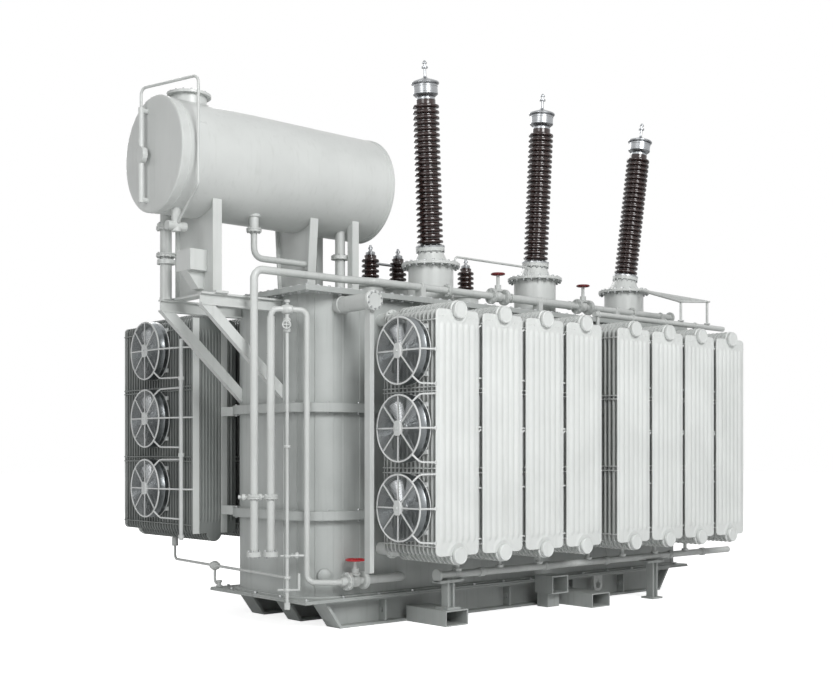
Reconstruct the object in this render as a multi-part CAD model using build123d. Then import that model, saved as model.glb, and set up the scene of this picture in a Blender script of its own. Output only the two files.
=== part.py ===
from build123d import *
import os
from math import radians, sqrt, tan

# A three-phase oil-filled power transformer. Millimetres, +Z up. X runs along the tank, with the
# conservator over the -X end, and -Y is the long side with the shallow radiators.
# The origin lies on the ground under the conservator's axis line, beyond the tank's middle.
# Heights on the cover are taken from the cover's top, and the banks' places from the tank's near end.

# Skids and the frame at ground level
runner_height = 260
runner_width = 220
runner_spacing = 640
runner_foot_length = 4800
runner_top_length = 5180
runner_flange = 25
runner_web = 24
base_plate_thickness = 32
outrigger_places = (-2000, 95)
outrigger_width = 290
outrigger_height = 150
outrigger_wall = 12
outrigger_reach = 1400
jacking_box_place = -270
jacking_box_width = 250
jacking_box_height = 190
jacking_box_floor = 150
jacking_box_depth = 250
jacking_box_wall = 14
packing_width = 180
packing_depth = 150
tow_eye_place = 671
tow_eye_height = 150
tow_eye_radius = 75
tow_eye_bore = 38
tow_eye_thickness = 40
support_rail_start = -2150
support_rail_end = 2600
support_rail_place = 1273
support_rail_radius = 36
support_rail_height = 440
rail_flange_radius = 62
rail_flange_thickness = 26
rail_leg_places = (-2000, 1128)
rail_leg_width = 90
rail_leg_web = 20
rail_foot_width = 170
rail_foot_thickness = 20

# Tank and cover
tank_length = 5500
tank_width = 1440
tank_height = 2853
tank_wall = 12
tank_corner = 400
tank_far_corner = 60
tank_middle = (-550, -80)
flange_overhang = 100
rim_thickness = 25
cover_thickness = 25
belt_depth = 70
belt_height = 90
belt_levels = (1058, 2065)

# Radiators
radiator_pitch = 570
radiator_width = 520
radiator_gap = 250
radiators_per_group = 4
fin_height = 2193
fin_thickness = 12
fin_corner = 45
fin_pitch = 56
front_fin_count = 14
rear_fin_count = 27
front_bank_setback = 595
rear_bank_overhang = 210
front_bank_bottom = 725
rear_bank_bottom = 820
front_bank_gap = 350
rear_bank_gap = 265
header_radius = 62
header_cap_radius = 78
header_cap_thickness = 38
header_nose = 8
header_hump = 88
header_flange_radius = 105
header_flange_thickness = 24
bank_post_width = 70
bank_post_thickness = 12
bank_post_step = 330

# Cooling fans on the ends of the two banks
fan_radius = 304
fan_shift = 20
fan_barrel = 130
fan_wall = 10
pad_width = 40
pad_length = 70
pad_height = 20
fan_levels_front = (1149, 1861, 2555)
fan_levels_rear = (1271, 2002, 2714)
fan_spokes = 8
spoke_width = 14
spoke_thickness = 10
fan_plate_radius = 63
motor_radius = 58
motor_length = 42
fan_shaft_radius = 12
fan_shaft_length = 50
running_gap = 0.3
hub_radius = 68
hub_length = 48
hub_gap = 3
blade_count = 6
blade_tip_gap = 16
blade_chord_root = 70
blade_chord_tip = 150
blade_pitch = 28
blade_thickness = 5

# Conservator and what carries it
conservator_start = -4445
conservator_length = 2442
conservator_radius = 520
conservator_wall = 8
conservator_height = 1170
end_depth = 90
end_knuckle = 75
seat_gap = 0.3
saddle_place = -3981
saddle_half_width = 325
saddle_web = 20
saddle_flange_width = 92
saddle_flange_thickness = 16
saddle_base_length = 130
saddle_base_width = 860
saddle_base_thickness = 20
inner_saddle_place = -2871
inner_saddle_foot = 230
conservator_post_place = -2392
conservator_post_spread = 300
conservator_post_size = 80
bracket_place = 360
bracket_start = -4175
bracket_width = 76
bracket_drop = 85
bracket_depth = 115
bracket_web = 14
bracket_flange = 16
brace_drop = 820
bracket_bedding = 40
brace_depth = 96
brace_width = 62
manhole_place = -4080
manhole_radius = 165
manhole_neck = 60
manhole_flange_radius = 205
manhole_flange_thickness = 24

# Gauge, breather, relay box and conservator pipework
gauge_offset = 110
gauge_reach = 60
gauge_half_height = 430
gauge_radius = 26
gauge_dial_radius = 78
gauge_dial_thickness = 50
vent_radius = 13
vent_bend = 60
vent_rise = 170
vent_front = 565
vent_drop_place = -4311
vent_foot_drop = 350
cock_place = (-4290, -140)
cock_radius = 42
cock_foot_drop = 700
cock_cross_drop = 650
cock_reach = 95
breather_radius = 55
breather_flange_radius = 84
breather_flange_thickness = 40
breather_inset = 60
breather_flange_rise = 335
breather_flange_drop = 580
breather_plate_thickness = 22
relay_box_length = 180
relay_box_width = 250
relay_box_height = 190
relay_box_rise = 225
relay_box_offset = -60
relay_bracket_drop = 160
relay_bracket_foot = 60
drain_elbow_place = -3498
drain_elbow_offset = -200
drain_elbow_radius = 45
drain_elbow_bend = 170
drain_elbow_drop = 860
feed_place = -2442
feed_offset = -150
feed_radius = 50
feed_flange_radius = 90
feed_flange_thickness = 36
feed_flange_rise = 410

# Pipes at the near end and along the cover
riser_place = (-3719, -540)
riser_radius = 36
riser_foot = 720
riser_rise = 145
pipe_bend = 90
pipe_flange_radius = 66
pipe_flange_thickness = 22
return_place = (-3594, -624)
return_radius = 36
return_drop = 216
downpipe_place = (-3281, -752)
downpipe_radius = 27
downpipe_bend = 70
run_height = 450
run_radius = 40
run_line = -930
run_end = -2250
sampling_share = 0.45
sampling_radius = 16
sampling_foot = 210
sampling_plug_radius = 28
sampling_plug_length = 60
drain_line_radius = 13
drain_line_height = 500
drain_line_reach = 1722
drain_line_bend = 50
drain_cock_radius = 34
drain_cock_length = 90
cover_pipe_line = -760
cover_pipe_start = -2500
cover_pipe_jog = -2720
cover_pipe_end = 2150
cover_pipe_rise = 120
cover_pipe_radius = 36
cover_foot_places = (-1900, -200, 1100, 1950)
cover_foot_width = 60
cover_foot_length = 90
relief_setback = 351
relief_reach = 1291
relief_drop = 150
relief_radius = 76
relief_cap_radius = 92
relief_cap_thickness = 40
relief_duct_width = 76
relief_duct_depth = 50
relief_duct_foot = 400
relief_duct_setback = 24
vent_line_offset = 120
vent_line_start = 230
vent_line_rise = 90
vent_line_radius = 12
vent_line_bend = 40
frame_pipe_overhang = 60
frame_pipe_end = 2300
frame_pipe_rise = 192
frame_pipe_radius = 30
frame_pipe_bay = 4.5
frame_stub_radius = 18
frame_posts = ((1484, 260), (1988, 300))
frame_post_radius = 15
frame_stay_clearance = 20

# Valves and their handwheels
valve_body_radius = 58
valve_half_length = 95
valve_flange_radius = 78
valve_flange_thickness = 20
bonnet_radius = 34
stem_radius = 10
drain_valve_place = -2857
drain_wheel_rise = 195
drain_wheel_radius = 95
cover_valve_places = (-815, 540)
cover_wheel_rise = 240
cover_wheel_radius = 76
wheel_rim_radius = 10
wheel_hub_radius = 24
wheel_hub_height = 30
wheel_spokes = 4
wheel_spoke_width = 14
wheel_spoke_height = 10
stem_shoulder_radius = 18

# High-voltage turrets and bushings
hv_row_centre = 100
hv_spacing = 1570
hv_line = -430
hv_fan_angle = 5.5
hv_lean = 3.4
turret_radius = 235
turret_height = 405
turret_flange_radius = 305
turret_flange_thickness = 28
neck_foot_radius = 190
neck_top_radius = 128
neck_height = 180
neck_ring_radius = 150
neck_ring_thickness = 46
hv_core_radius = 84
hv_shed_radius = 138
hv_shed_pitch = 57
hv_shed_count = 25
hv_end_length = 30
hv_cap_radius = 138
hv_cap_height = 230
hv_cap_shoulder = 30
hv_stud_radius = 22
hv_stud_length = 170

# Low-voltage bushings
lv_places = (-1586, -1196, -806, -160)
lv_line = 430
lv_base_radius = 150
lv_base_height = 300
lv_base_flange_radius = 180
lv_base_flange_thickness = 26
lv_core_radius = 56
lv_shed_radius = 96
lv_shed_pitch = 56
lv_shed_count = 5
lv_end_length = 20
lv_cap_radius = 52
lv_cap_height = 46
lv_stud_radius = 16
lv_stud_length = 70

shed_root_share = 0.18
shed_tip_share = 0.42
shed_rim_share = 0.52
shed_back_share = 0.86

base_top = runner_height + base_plate_thickness
rim_top = base_top + tank_height
cover_top = rim_top + cover_thickness
end_wall = tank_middle[0] - tank_length / 2
front_wall = tank_middle[1] - tank_width / 2
rear_wall = tank_middle[1] + tank_width / 2
flange_length = tank_length + 2 * flange_overhang
flange_width = tank_width + 2 * flange_overhang
fan_depth = fan_barrel + pad_height
front_bank_start = end_wall + front_bank_setback
rear_bank_start = end_wall - rear_bank_overhang
relief_place = end_wall + relief_setback
conservator_level = cover_top + conservator_height
bracket_top = cover_top - bracket_drop
relay_box_floor = bracket_top + relay_box_rise
drain_elbow_level = conservator_level - drain_elbow_drop
riser_level = cover_top + riser_rise
return_level = cover_top - return_drop
cover_pipe_level = cover_top + cover_pipe_rise
relief_level = cover_top - relief_drop


def block(x, y, z):
    """A box between a pair of limits on each axis."""
    limits = [sorted(pair) for pair in (x, y, z)]
    size = [high - low for low, high in limits]
    middle = [(high + low) / 2 for low, high in limits]
    return Pos(*middle) * Box(*size)


def disc(centre, axis, radius, thickness):
    """A round plate that grows from centre along axis."""
    return extrude(Plane(origin=centre, z_dir=axis) * Circle(radius), amount=thickness)


def rod(start, end, radius):
    """A straight round bar between two points."""
    run = Vector(*end) - Vector(*start)
    return disc(start, run, radius, run.length)


def bent_pipe(points, bend, radius):
    """A pipe along straight runs joined by equal bends."""
    route = FilletPolyline(*points, radius=bend)
    return sweep((route ^ 0) * Circle(radius), path=route)


def turned(profile, plane):
    """A profile of (radius, height) points turned round the plane's normal."""
    outline = make_face(Polyline(*[(radius, 0, height) for radius, height in profile], close=True))
    return plane.location * revolve(outline, axis=Axis.Z)


def slab(outline, plane, thickness):
    """A flat plate of the given outline, half its thickness to each side of the plane."""
    return extrude(plane * make_face(Polyline(*outline, close=True)), amount=thickness / 2, both=True)


def group(pieces):
    """Like pieces that don't touch, kept as separate solids."""
    return Compound(children=[solid for piece in pieces for solid in piece.solids()])


def tank_plan(margin):
    """The tank's plan, with wide corners at the near end and tight ones at the far end, offset by margin."""
    width = tank_width + 2 * margin
    near = RectangleRounded(tank_length + 2 * margin, width, tank_corner + margin)
    far = RectangleRounded(tank_length / 2 + margin, width, tank_far_corner + margin)
    return Pos(*tank_middle) * (near + Pos((tank_length / 2 + margin) / 2) * far)


def flange_plate(floor, thickness):
    """A plate that stands out all round the tank."""
    return Pos(*tank_middle, floor) * extrude(Rectangle(flange_length, flange_width), amount=thickness)


# Skids and the frame at ground level
def skid_runners():
    """Three sledge girders: I-sections with slanted ends."""
    outline = make_face(
        Polyline(
            (-runner_foot_length / 2, 0),
            (runner_foot_length / 2, 0),
            (runner_top_length / 2, runner_height),
            (-runner_top_length / 2, runner_height),
            close=True,
        )
    )
    pocket = offset(outline, amount=-runner_flange, kind=Kind.INTERSECTION)
    girder = extrude(outline, amount=runner_width / 2, both=True)
    girder -= extrude(pocket, amount=runner_width / 2, both=True)
    girder += extrude(pocket, amount=runner_web / 2, both=True)
    x, y = tank_middle
    lines = (y - runner_spacing, y, y + runner_spacing)
    return group(Pos(x, line, 0) * Rot(90, 0, 0) * girder for line in lines)


def runner_face(side):
    """The outer face of the outer runner on a side."""
    return tank_middle[1] + side * (runner_spacing + runner_width / 2)


def outrigger_boxes():
    """Open-ended box sections that stick out from the outer runners."""
    boxes = []
    for place in outrigger_places:
        for side in (-1, 1):
            x = (place - outrigger_width / 2, place + outrigger_width / 2)
            y = (runner_face(side), side * outrigger_reach)
            hollow_x = (x[0] + outrigger_wall, x[1] - outrigger_wall)
            hollow_z = (outrigger_wall, outrigger_height - outrigger_wall)
            boxes.append(block(x, y, (0, outrigger_height)) - block(hollow_x, y, hollow_z))
    return group(boxes)


def jacking_boxes():
    """Box brackets at the edge of the base plate, each on a packing block."""
    boxes = []
    for side in (-1, 1):
        x = (jacking_box_place - jacking_box_width / 2, jacking_box_place + jacking_box_width / 2)
        edge = tank_middle[1] + side * flange_width / 2
        y = (edge, edge + side * jacking_box_depth)
        z = (jacking_box_floor, jacking_box_floor + jacking_box_height)
        hollow_x = (x[0] + jacking_box_wall, x[1] - jacking_box_wall)
        hollow_z = (z[0] + jacking_box_wall, z[1] - jacking_box_wall)
        hollow_y = (edge + side * jacking_box_wall, y[1])
        packing = block(
            (jacking_box_place - packing_width / 2, jacking_box_place + packing_width / 2),
            (edge, edge + side * packing_depth),
            (0, jacking_box_floor),
        )
        boxes.append(block(x, y, z) - block(hollow_x, hollow_y, hollow_z) + packing)
    return group(boxes)


def towing_eyes():
    """Ring lugs on the outer runners."""
    eyes = []
    for side in (-1, 1):
        axis = (0, side, 0)
        face = runner_face(side)
        centre = (tow_eye_place, face, tow_eye_height)
        lug = disc(centre, axis, tow_eye_radius, tow_eye_thickness)
        lug += block(
            (tow_eye_place - tow_eye_radius, tow_eye_place + tow_eye_radius),
            (face, face + side * tow_eye_thickness),
            (tow_eye_height, runner_height),
        )
        eyes.append(lug - disc(centre, axis, tow_eye_bore, tow_eye_thickness))
    return group(eyes)


def support_rails():
    """Round drain pipes under the radiator banks, each with a flange at its near end."""
    level = support_rail_height + support_rail_radius
    rails = []
    for side in (-1, 1):
        start = (support_rail_start, side * support_rail_place, level)
        end = (support_rail_end, side * support_rail_place, level)
        rails.append(
            rod(start, end, support_rail_radius) + disc(start, (1, 0, 0), rail_flange_radius, rail_flange_thickness)
        )
    return group(rails)


def rail_legs():
    """I-section legs with foot plates; the near pair stands on the outrigger boxes."""
    legs = []
    for place, floor in zip(rail_leg_places, (outrigger_height, 0)):
        for side in (-1, 1):
            line = side * support_rail_place
            half = rail_leg_width / 2
            x = (place - half, place + half)
            z = (floor + rail_foot_thickness, support_rail_height)
            leg = block(x, (line - rail_leg_web / 2, line + rail_leg_web / 2), z)
            for edge in (-half, half - rail_leg_web):
                leg += block((place + edge, place + edge + rail_leg_web), (line - half, line + half), z)
            foot = rail_foot_width / 2
            leg += block(
                (place - foot, place + foot),
                (line - foot, line + foot),
                (floor, floor + rail_foot_thickness),
            )
            legs.append(leg)
    return group(legs)


def base_plate():
    """The tank's bottom flange plate."""
    return flange_plate(runner_height, base_plate_thickness)


# Tank and cover
def tank_shell():
    """Folded tank wall with a bolting rim at the top."""
    inside = extrude(tank_plan(-tank_wall), amount=rim_top)
    wall = extrude(tank_plan(0), amount=tank_height)
    return Pos(0, 0, base_top) * wall + flange_plate(rim_top - rim_thickness, rim_thickness) - inside


def tank_belts():
    """Stiffening belts round the tank."""
    ring = extrude(tank_plan(belt_depth) - tank_plan(0), amount=belt_height)
    return group(Pos(0, 0, level - belt_height / 2) * ring for level in belt_levels)


def tank_cover():
    """The bolted cover plate."""
    return flange_plate(rim_top, cover_thickness)


# Radiators
def bank_places(start):
    """The near edge of each radiator of a bank, in two groups."""
    group_step = radiators_per_group * radiator_pitch - (radiator_pitch - radiator_width) + radiator_gap
    return [
        [start + place * radiator_pitch + half * group_step for place in range(radiators_per_group)]
        for half in range(2)
    ]


def bank_depth(fin_count):
    """Depth of a bank from its first fin to its last."""
    return (fin_count - 1) * fin_pitch + fin_thickness


def radiator(fin_count, gap, side):
    """Fins on two headers that reach back to the tank wall, with blank caps in front."""
    wall = max(side * front_wall, side * rear_wall)
    first = wall + gap
    face = first + bank_depth(fin_count)
    middle = radiator_width / 2
    outline = RectangleRounded(radiator_width, fin_height, fin_corner)
    for end in (-1, 1):
        outline += Pos(0, end * fin_height / 2) * Circle(header_hump)
    sheet = Rot(90, 0, 0) * extrude(outline, amount=fin_thickness / 2, both=True)
    fins = [
        Pos(middle, side * (first + place * fin_pitch + fin_thickness / 2), fin_height / 2) * sheet
        for place in range(fin_count)
    ]
    axis = (0, side, 0)
    headers = []
    for level in (0, fin_height):
        nose = face + header_nose
        headers.append(rod((middle, side * wall, level), (middle, side * nose, level), header_radius))
        cap = (middle, side * nose, level)
        headers.append(disc(cap, axis, header_cap_radius, header_cap_thickness))
        valve = (middle, side * (wall + gap / 2 - header_flange_thickness / 2), level)
        headers.append(disc(valve, axis, header_flange_radius, header_flange_thickness))
    return headers[0] + headers[1:] + fins


def radiator_groups():
    """The four groups of radiators, by name."""
    front = radiator(front_fin_count, front_bank_gap, -1)
    rear = radiator(rear_fin_count, rear_bank_gap, 1)
    groups = {}
    banks = (
        ("front", front, front_bank_start, front_bank_bottom),
        ("rear", rear, rear_bank_start, rear_bank_bottom),
    )
    for bank, shape, start, bottom in banks:
        for name, places in zip(("near", "far"), bank_places(start)):
            groups[f"{bank}_radiators_{name}"] = group(Pos(place, 0, bottom) * shape for place in places)
    return groups


def rear_bank_posts():
    """Flat posts up the inner face of the rear bank."""
    inner = rear_wall + rear_bank_gap
    top = rear_bank_bottom + fin_height
    posts = []
    for step in (0, bank_post_step):
        near = rear_bank_start + step
        posts.append(
            block(
                (near, near + bank_post_width),
                (inner - bank_post_thickness, inner),
                (rear_bank_bottom, top),
            )
        )
    return group(posts)


def rear_bank_stays():
    """Short arms from the tank's belts to the second post of the rear bank."""
    near = rear_bank_start + bank_post_step
    inner = rear_wall + rear_bank_gap - bank_post_thickness
    belt = extrude(tank_plan(belt_depth), amount=cover_top)
    return group(
        block(
            (near, near + bank_post_width),
            (0, inner),
            (level - belt_height / 2, level + belt_height / 2),
        )
        - belt
        for level in belt_levels
    )


# Cooling fans
def fan_plane(start, centre, level):
    """The plane of a fan's mounting face, with its normal pointing out of the bank."""
    return Plane(origin=(start, centre, level), x_dir=(0, 1, 0), z_dir=(-1, 0, 0))


def fan_centres():
    """The start, middle line and levels of the fans of each bank."""
    front = front_wall - front_bank_gap - bank_depth(front_fin_count) / 2 - fan_shift
    rear = rear_wall + rear_bank_gap + bank_depth(rear_fin_count) / 2
    return {
        "front": (front_bank_start, front, fan_levels_front),
        "rear": (rear_bank_start, rear, fan_levels_rear),
    }


def fan_shroud(plane):
    """A fan barrel on four pads, with a spoked guard that carries the motor and its shaft."""
    middle = fan_radius - fan_wall / 2
    guard_floor = fan_depth - spoke_thickness
    barrel = extrude(Circle(fan_radius) - Circle(fan_radius - fan_wall), amount=fan_barrel)
    shroud = Pos(0, 0, pad_height) * barrel
    for across in (-1, 1):
        for up in (-1, 1):
            place = Pos(across * middle / sqrt(2), up * middle / sqrt(2), pad_height / 2)
            shroud += place * Box(pad_length, pad_width, pad_height)
    for place in range(fan_spokes):
        spoke = Pos(middle / 2, 0, guard_floor + spoke_thickness / 2) * Box(middle, spoke_width, spoke_thickness)
        shroud += Rot(0, 0, place * 360 / fan_spokes) * spoke
    shroud += Pos(0, 0, guard_floor) * extrude(Circle(fan_plate_radius), amount=spoke_thickness)
    motor_floor = guard_floor - motor_length
    shroud += Pos(0, 0, motor_floor) * extrude(Circle(motor_radius), amount=motor_length)
    shaft_floor = motor_floor - fan_shaft_length
    shroud += Pos(0, 0, shaft_floor) * extrude(Circle(fan_shaft_radius), amount=fan_shaft_length)
    return plane.location * shroud


def fan_rotor(plane):
    """A hub on the motor shaft, with pitched blades that widen towards the tip."""
    top = fan_depth - spoke_thickness - motor_length - hub_gap
    rotor = Pos(0, 0, top - hub_length) * extrude(Circle(hub_radius), amount=hub_length)
    tip = fan_radius - fan_wall - blade_tip_gap
    root = hub_radius - blade_thickness
    outline = [
        (root, -blade_chord_root / 2),
        (tip, -blade_chord_tip / 2),
        (tip, blade_chord_tip / 2),
        (root, blade_chord_root / 2),
    ]
    blade = slab(outline, Plane.XY, blade_thickness)
    blade &= extrude(Circle(tip), amount=blade_thickness, both=True)
    for place in range(blade_count):
        turn = Rot(0, 0, place * 360 / blade_count) * Rot(blade_pitch, 0, 0)
        rotor += Pos(0, 0, top - hub_length / 2) * turn * blade
    bore = extrude(Circle(fan_shaft_radius + running_gap), amount=fan_depth)
    return plane.location * (rotor - bore)


# Conservator and what carries it
def conservator_axis(place):
    """A plane across the conservator at the given place along it."""
    return Plane(origin=(place, 0, conservator_level), x_dir=(0, 1, 0), z_dir=(1, 0, 0))


def conservator_shell():
    """The drum, open at both ends."""
    drum = Circle(conservator_radius) - Circle(conservator_radius - conservator_wall)
    start = conservator_axis(conservator_start + end_depth)
    return extrude(start * drum, amount=conservator_length - 2 * end_depth)


def conservator_ends():
    """Flat ends with rounded knuckles, welded to the drum."""
    cap = fillet(
        extrude(Circle(conservator_radius), amount=end_depth).faces().sort_by(Axis.Z)[-1].edges(), end_knuckle
    )
    far = conservator_axis(conservator_start + conservator_length - end_depth)
    near = Plane(
        origin=(conservator_start + end_depth, 0, conservator_level), x_dir=(0, 1, 0), z_dir=(-1, 0, 0)
    )
    return group([near.location * cap, far.location * cap])


def conservator_room():
    """The drum's outside with the seat clearance, to cut what meets it."""
    start = conservator_axis(conservator_start)
    return extrude(start * Circle(conservator_radius + seat_gap), amount=conservator_length)


def saddle(place, floor, foot_half_width):
    """An upright web with flanged edges, hollowed at the top to take the drum."""
    plane = Plane(origin=(place, 0, 0), x_dir=(0, 1, 0), z_dir=(1, 0, 0))
    top = conservator_level
    web_foot = floor + saddle_base_thickness
    web = [
        (-foot_half_width, web_foot),
        (foot_half_width, web_foot),
        (saddle_half_width, top),
        (-saddle_half_width, top),
    ]
    shape = slab(web, plane, saddle_web)
    for side in (-1, 1):
        edge = [
            (side * foot_half_width, web_foot),
            (side * (foot_half_width + saddle_flange_thickness), web_foot),
            (side * (saddle_half_width + saddle_flange_thickness), top),
            (side * saddle_half_width, top),
        ]
        shape += slab(edge, plane, saddle_flange_width)
    return shape - conservator_room()


def conservator_saddle():
    """The saddle on the bracket beams, beyond the end of the tank."""
    foot = block(
        (saddle_place - saddle_base_length / 2, saddle_place + saddle_base_length / 2),
        (-saddle_base_width / 2, saddle_base_width / 2),
        (bracket_top, bracket_top + saddle_base_thickness),
    )
    return foot + saddle(saddle_place, bracket_top, saddle_half_width)


def conservator_inner_saddle():
    """The saddle that stands on the cover."""
    half = inner_saddle_foot + saddle_base_thickness * 2
    foot = block(
        (inner_saddle_place - saddle_base_length / 2, inner_saddle_place + saddle_base_length / 2),
        (-half, half),
        (cover_top, cover_top + saddle_base_thickness),
    )
    return foot + saddle(inner_saddle_place, cover_top, inner_saddle_foot)


def conservator_posts():
    """A pair of posts under the far end of the drum."""
    half = conservator_post_size / 2
    posts = []
    for side in (-1, 1):
        line = side * conservator_post_spread
        post = block(
            (conservator_post_place - half, conservator_post_place + half),
            (line - half, line + half),
            (cover_top, conservator_level),
        )
        posts.append(post - conservator_room())
    return group(posts)


def bracket_beams():
    """Two channel beams that reach out from the end of the tank."""
    beams = []
    for side in (-1, 1):
        line = side * bracket_place
        half = bracket_width / 2
        x = (bracket_start, end_wall + bracket_bedding)
        z = (bracket_top - bracket_depth, bracket_top)
        beam = block(x, (line - half, line + half), z)
        for face in (-1, 1):
            beam -= block(
                x,
                (line + face * bracket_web / 2, line + face * half),
                (z[0] + bracket_flange, z[1] - bracket_flange),
            )
        beams.append(beam - extrude(tank_plan(0), amount=cover_top))
    return group(beams)


def bracket_braces():
    """Slanted struts from the beams' outer ends down to the tank's end wall."""
    top = bracket_top - bracket_depth
    slope = brace_drop / (end_wall - bracket_start)
    width = brace_depth * sqrt(1 + slope**2) / slope
    end = end_wall + bracket_bedding
    outline = [
        (bracket_start, top),
        (bracket_start + width, top),
        (end, top - slope * (end - bracket_start - width)),
        (end, top - slope * (end - bracket_start)),
    ]
    braces = []
    for side in (-1, 1):
        plane = Plane(origin=(0, side * bracket_place, 0), x_dir=(1, 0, 0), z_dir=(0, -1, 0))
        braces.append(slab(outline, plane, brace_width) - extrude(tank_plan(0), amount=cover_top))
    return group(braces)


def conservator_manhole():
    """A short flanged neck on top of the drum."""
    top = conservator_level + conservator_radius + manhole_neck
    floor = (manhole_place, 0, conservator_level)
    neck = disc(floor, (0, 0, 1), manhole_radius, top - conservator_level) - conservator_room()
    return neck + disc((manhole_place, 0, top), (0, 0, 1), manhole_flange_radius, manhole_flange_thickness)


def oil_gauge():
    """An upright sight tube on the near end, tapped in at top and bottom, with a round dial."""
    face = conservator_start
    line = face - gauge_reach
    low = conservator_level - gauge_half_height
    high = conservator_level + gauge_half_height
    tube = rod((line, gauge_offset, low), (line, gauge_offset, high), gauge_radius)
    for level in (low + gauge_radius, high - gauge_radius):
        tube += rod((face, gauge_offset, level), (line, gauge_offset, level), gauge_radius)
    centre = (line + gauge_dial_thickness / 2, gauge_offset, conservator_level)
    return tube + disc(centre, (-1, 0, 0), gauge_dial_radius, gauge_dial_thickness)


def gauge_vent():
    """A thin pipe from the gauge over the drum and down its front side to a cock under it."""
    line = conservator_start - gauge_reach
    start = conservator_level + gauge_half_height
    top = conservator_level + conservator_radius + vent_rise / 2
    x, y = cock_place
    cross = conservator_level - cock_cross_drop
    route = [
        (line, gauge_offset, start),
        (line, gauge_offset, top),
        (vent_drop_place, -vent_front, top),
        (vent_drop_place, -vent_front, conservator_level - vent_foot_drop),
        (x, y, cross),
    ]
    foot = conservator_level - cock_foot_drop
    cock = rod((x, y, foot), (x, y, conservator_level), cock_radius) - conservator_room()
    cock += rod((x - cock_reach, y, cross), (x + cock_reach, y, cross), cock_radius)
    return bent_pipe(route, vent_bend, vent_radius) + cock


def breather():
    """A flanged pipe from the end of the rear bracket beam up to the drum."""
    place = bracket_start + breather_inset
    foot = (place, bracket_place, bracket_top)
    pipe = rod(foot, (place, bracket_place, conservator_level), breather_radius) - conservator_room()
    for level in (bracket_top + breather_flange_rise, conservator_level - breather_flange_drop):
        joint = (place, bracket_place, level)
        pipe += disc(joint, (0, 0, 1), breather_flange_radius, breather_flange_thickness)
    return pipe + disc(foot, (0, 0, 1), bracket_width / 2 + breather_plate_thickness, breather_plate_thickness)


def relay_box():
    """A junction box on the web of the near saddle, with a tapered bracket under it."""
    face = saddle_place - saddle_web / 2
    y = (relay_box_offset - relay_box_width / 2, relay_box_offset + relay_box_width / 2)
    box = block((face - relay_box_length, face), y, (relay_box_floor, relay_box_floor + relay_box_height))
    outline = [
        (face - relay_box_length, relay_box_floor),
        (face, relay_box_floor),
        (face, relay_box_floor - relay_bracket_drop),
        (face - relay_bracket_foot, relay_box_floor - relay_bracket_drop),
    ]
    plane = Plane(origin=(0, relay_box_offset, 0), x_dir=(1, 0, 0), z_dir=(0, -1, 0))
    return box + slab(outline, plane, relay_box_width / 2)


def drain_elbow():
    """A pipe from the underside of the drum that bends round to the inner saddle."""
    route = [
        (drain_elbow_place, drain_elbow_offset, conservator_level),
        (drain_elbow_place, drain_elbow_offset, drain_elbow_level),
        (inner_saddle_place - saddle_web / 2, drain_elbow_offset, drain_elbow_level),
    ]
    return bent_pipe(route, drain_elbow_bend, drain_elbow_radius) - conservator_room()


def feed_pipe():
    """The main oil pipe from the drum to the cover, with a flanged joint."""
    pipe = rod(
        (feed_place, feed_offset, cover_top),
        (feed_place, feed_offset, conservator_level),
        feed_radius,
    )
    pipe -= conservator_room()
    joint = (feed_place, feed_offset, cover_top + feed_flange_rise)
    foot = (feed_place, feed_offset, cover_top)
    pipe += disc(joint, (0, 0, 1), feed_flange_radius, feed_flange_thickness)
    return pipe + disc(foot, (0, 0, 1), feed_flange_radius, feed_flange_thickness / 2)


# Pipes at the near end and along the cover
def riser_pipe():
    """The outermost pipe of the near end, from its blank foot over the edge of the cover."""
    x, y = riser_place
    route = [
        (x, y, riser_foot),
        (x, y, riser_level),
        (cover_pipe_jog, y, riser_level),
        (cover_pipe_start, cover_pipe_line, cover_pipe_level),
        (cover_valve_places[0] - valve_half_length, cover_pipe_line, cover_pipe_level),
    ]
    pipe = bent_pipe(route, pipe_bend, riser_radius)
    foot = (x, y, riser_foot - pipe_flange_thickness)
    return pipe + disc(foot, (0, 0, 1), pipe_flange_radius, 2 * pipe_flange_thickness)


def cover_pipe():
    """The oil pipe along the front edge of the cover, in lengths between its valves."""
    first, second = cover_valve_places
    level = (cover_pipe_line, cover_pipe_level)
    spans = [
        (first + valve_half_length, second - valve_half_length),
        (second + valve_half_length, cover_pipe_end),
    ]
    pipes = []
    for start, end in spans:
        pipes.append(rod((start, *level), (end, *level), cover_pipe_radius))
    end = (cover_pipe_end - pipe_flange_thickness, *level)
    pipes[-1] += disc(end, (1, 0, 0), pipe_flange_radius, pipe_flange_thickness)
    return group(pipes)


def cover_feet():
    """Small pedestals that carry the cover pipe."""
    half = cover_foot_width / 2
    seat = rod(
        (cover_pipe_jog, cover_pipe_line, cover_pipe_level),
        (cover_pipe_end, cover_pipe_line, cover_pipe_level),
        cover_pipe_radius + seat_gap,
    )
    feet = []
    for place in cover_foot_places:
        foot = block(
            (place - half, place + half),
            (cover_pipe_line - cover_foot_length / 2, cover_pipe_line + cover_foot_length / 2),
            (cover_top, cover_pipe_level),
        )
        feet.append(foot - seat)
    return group(feet)


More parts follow.
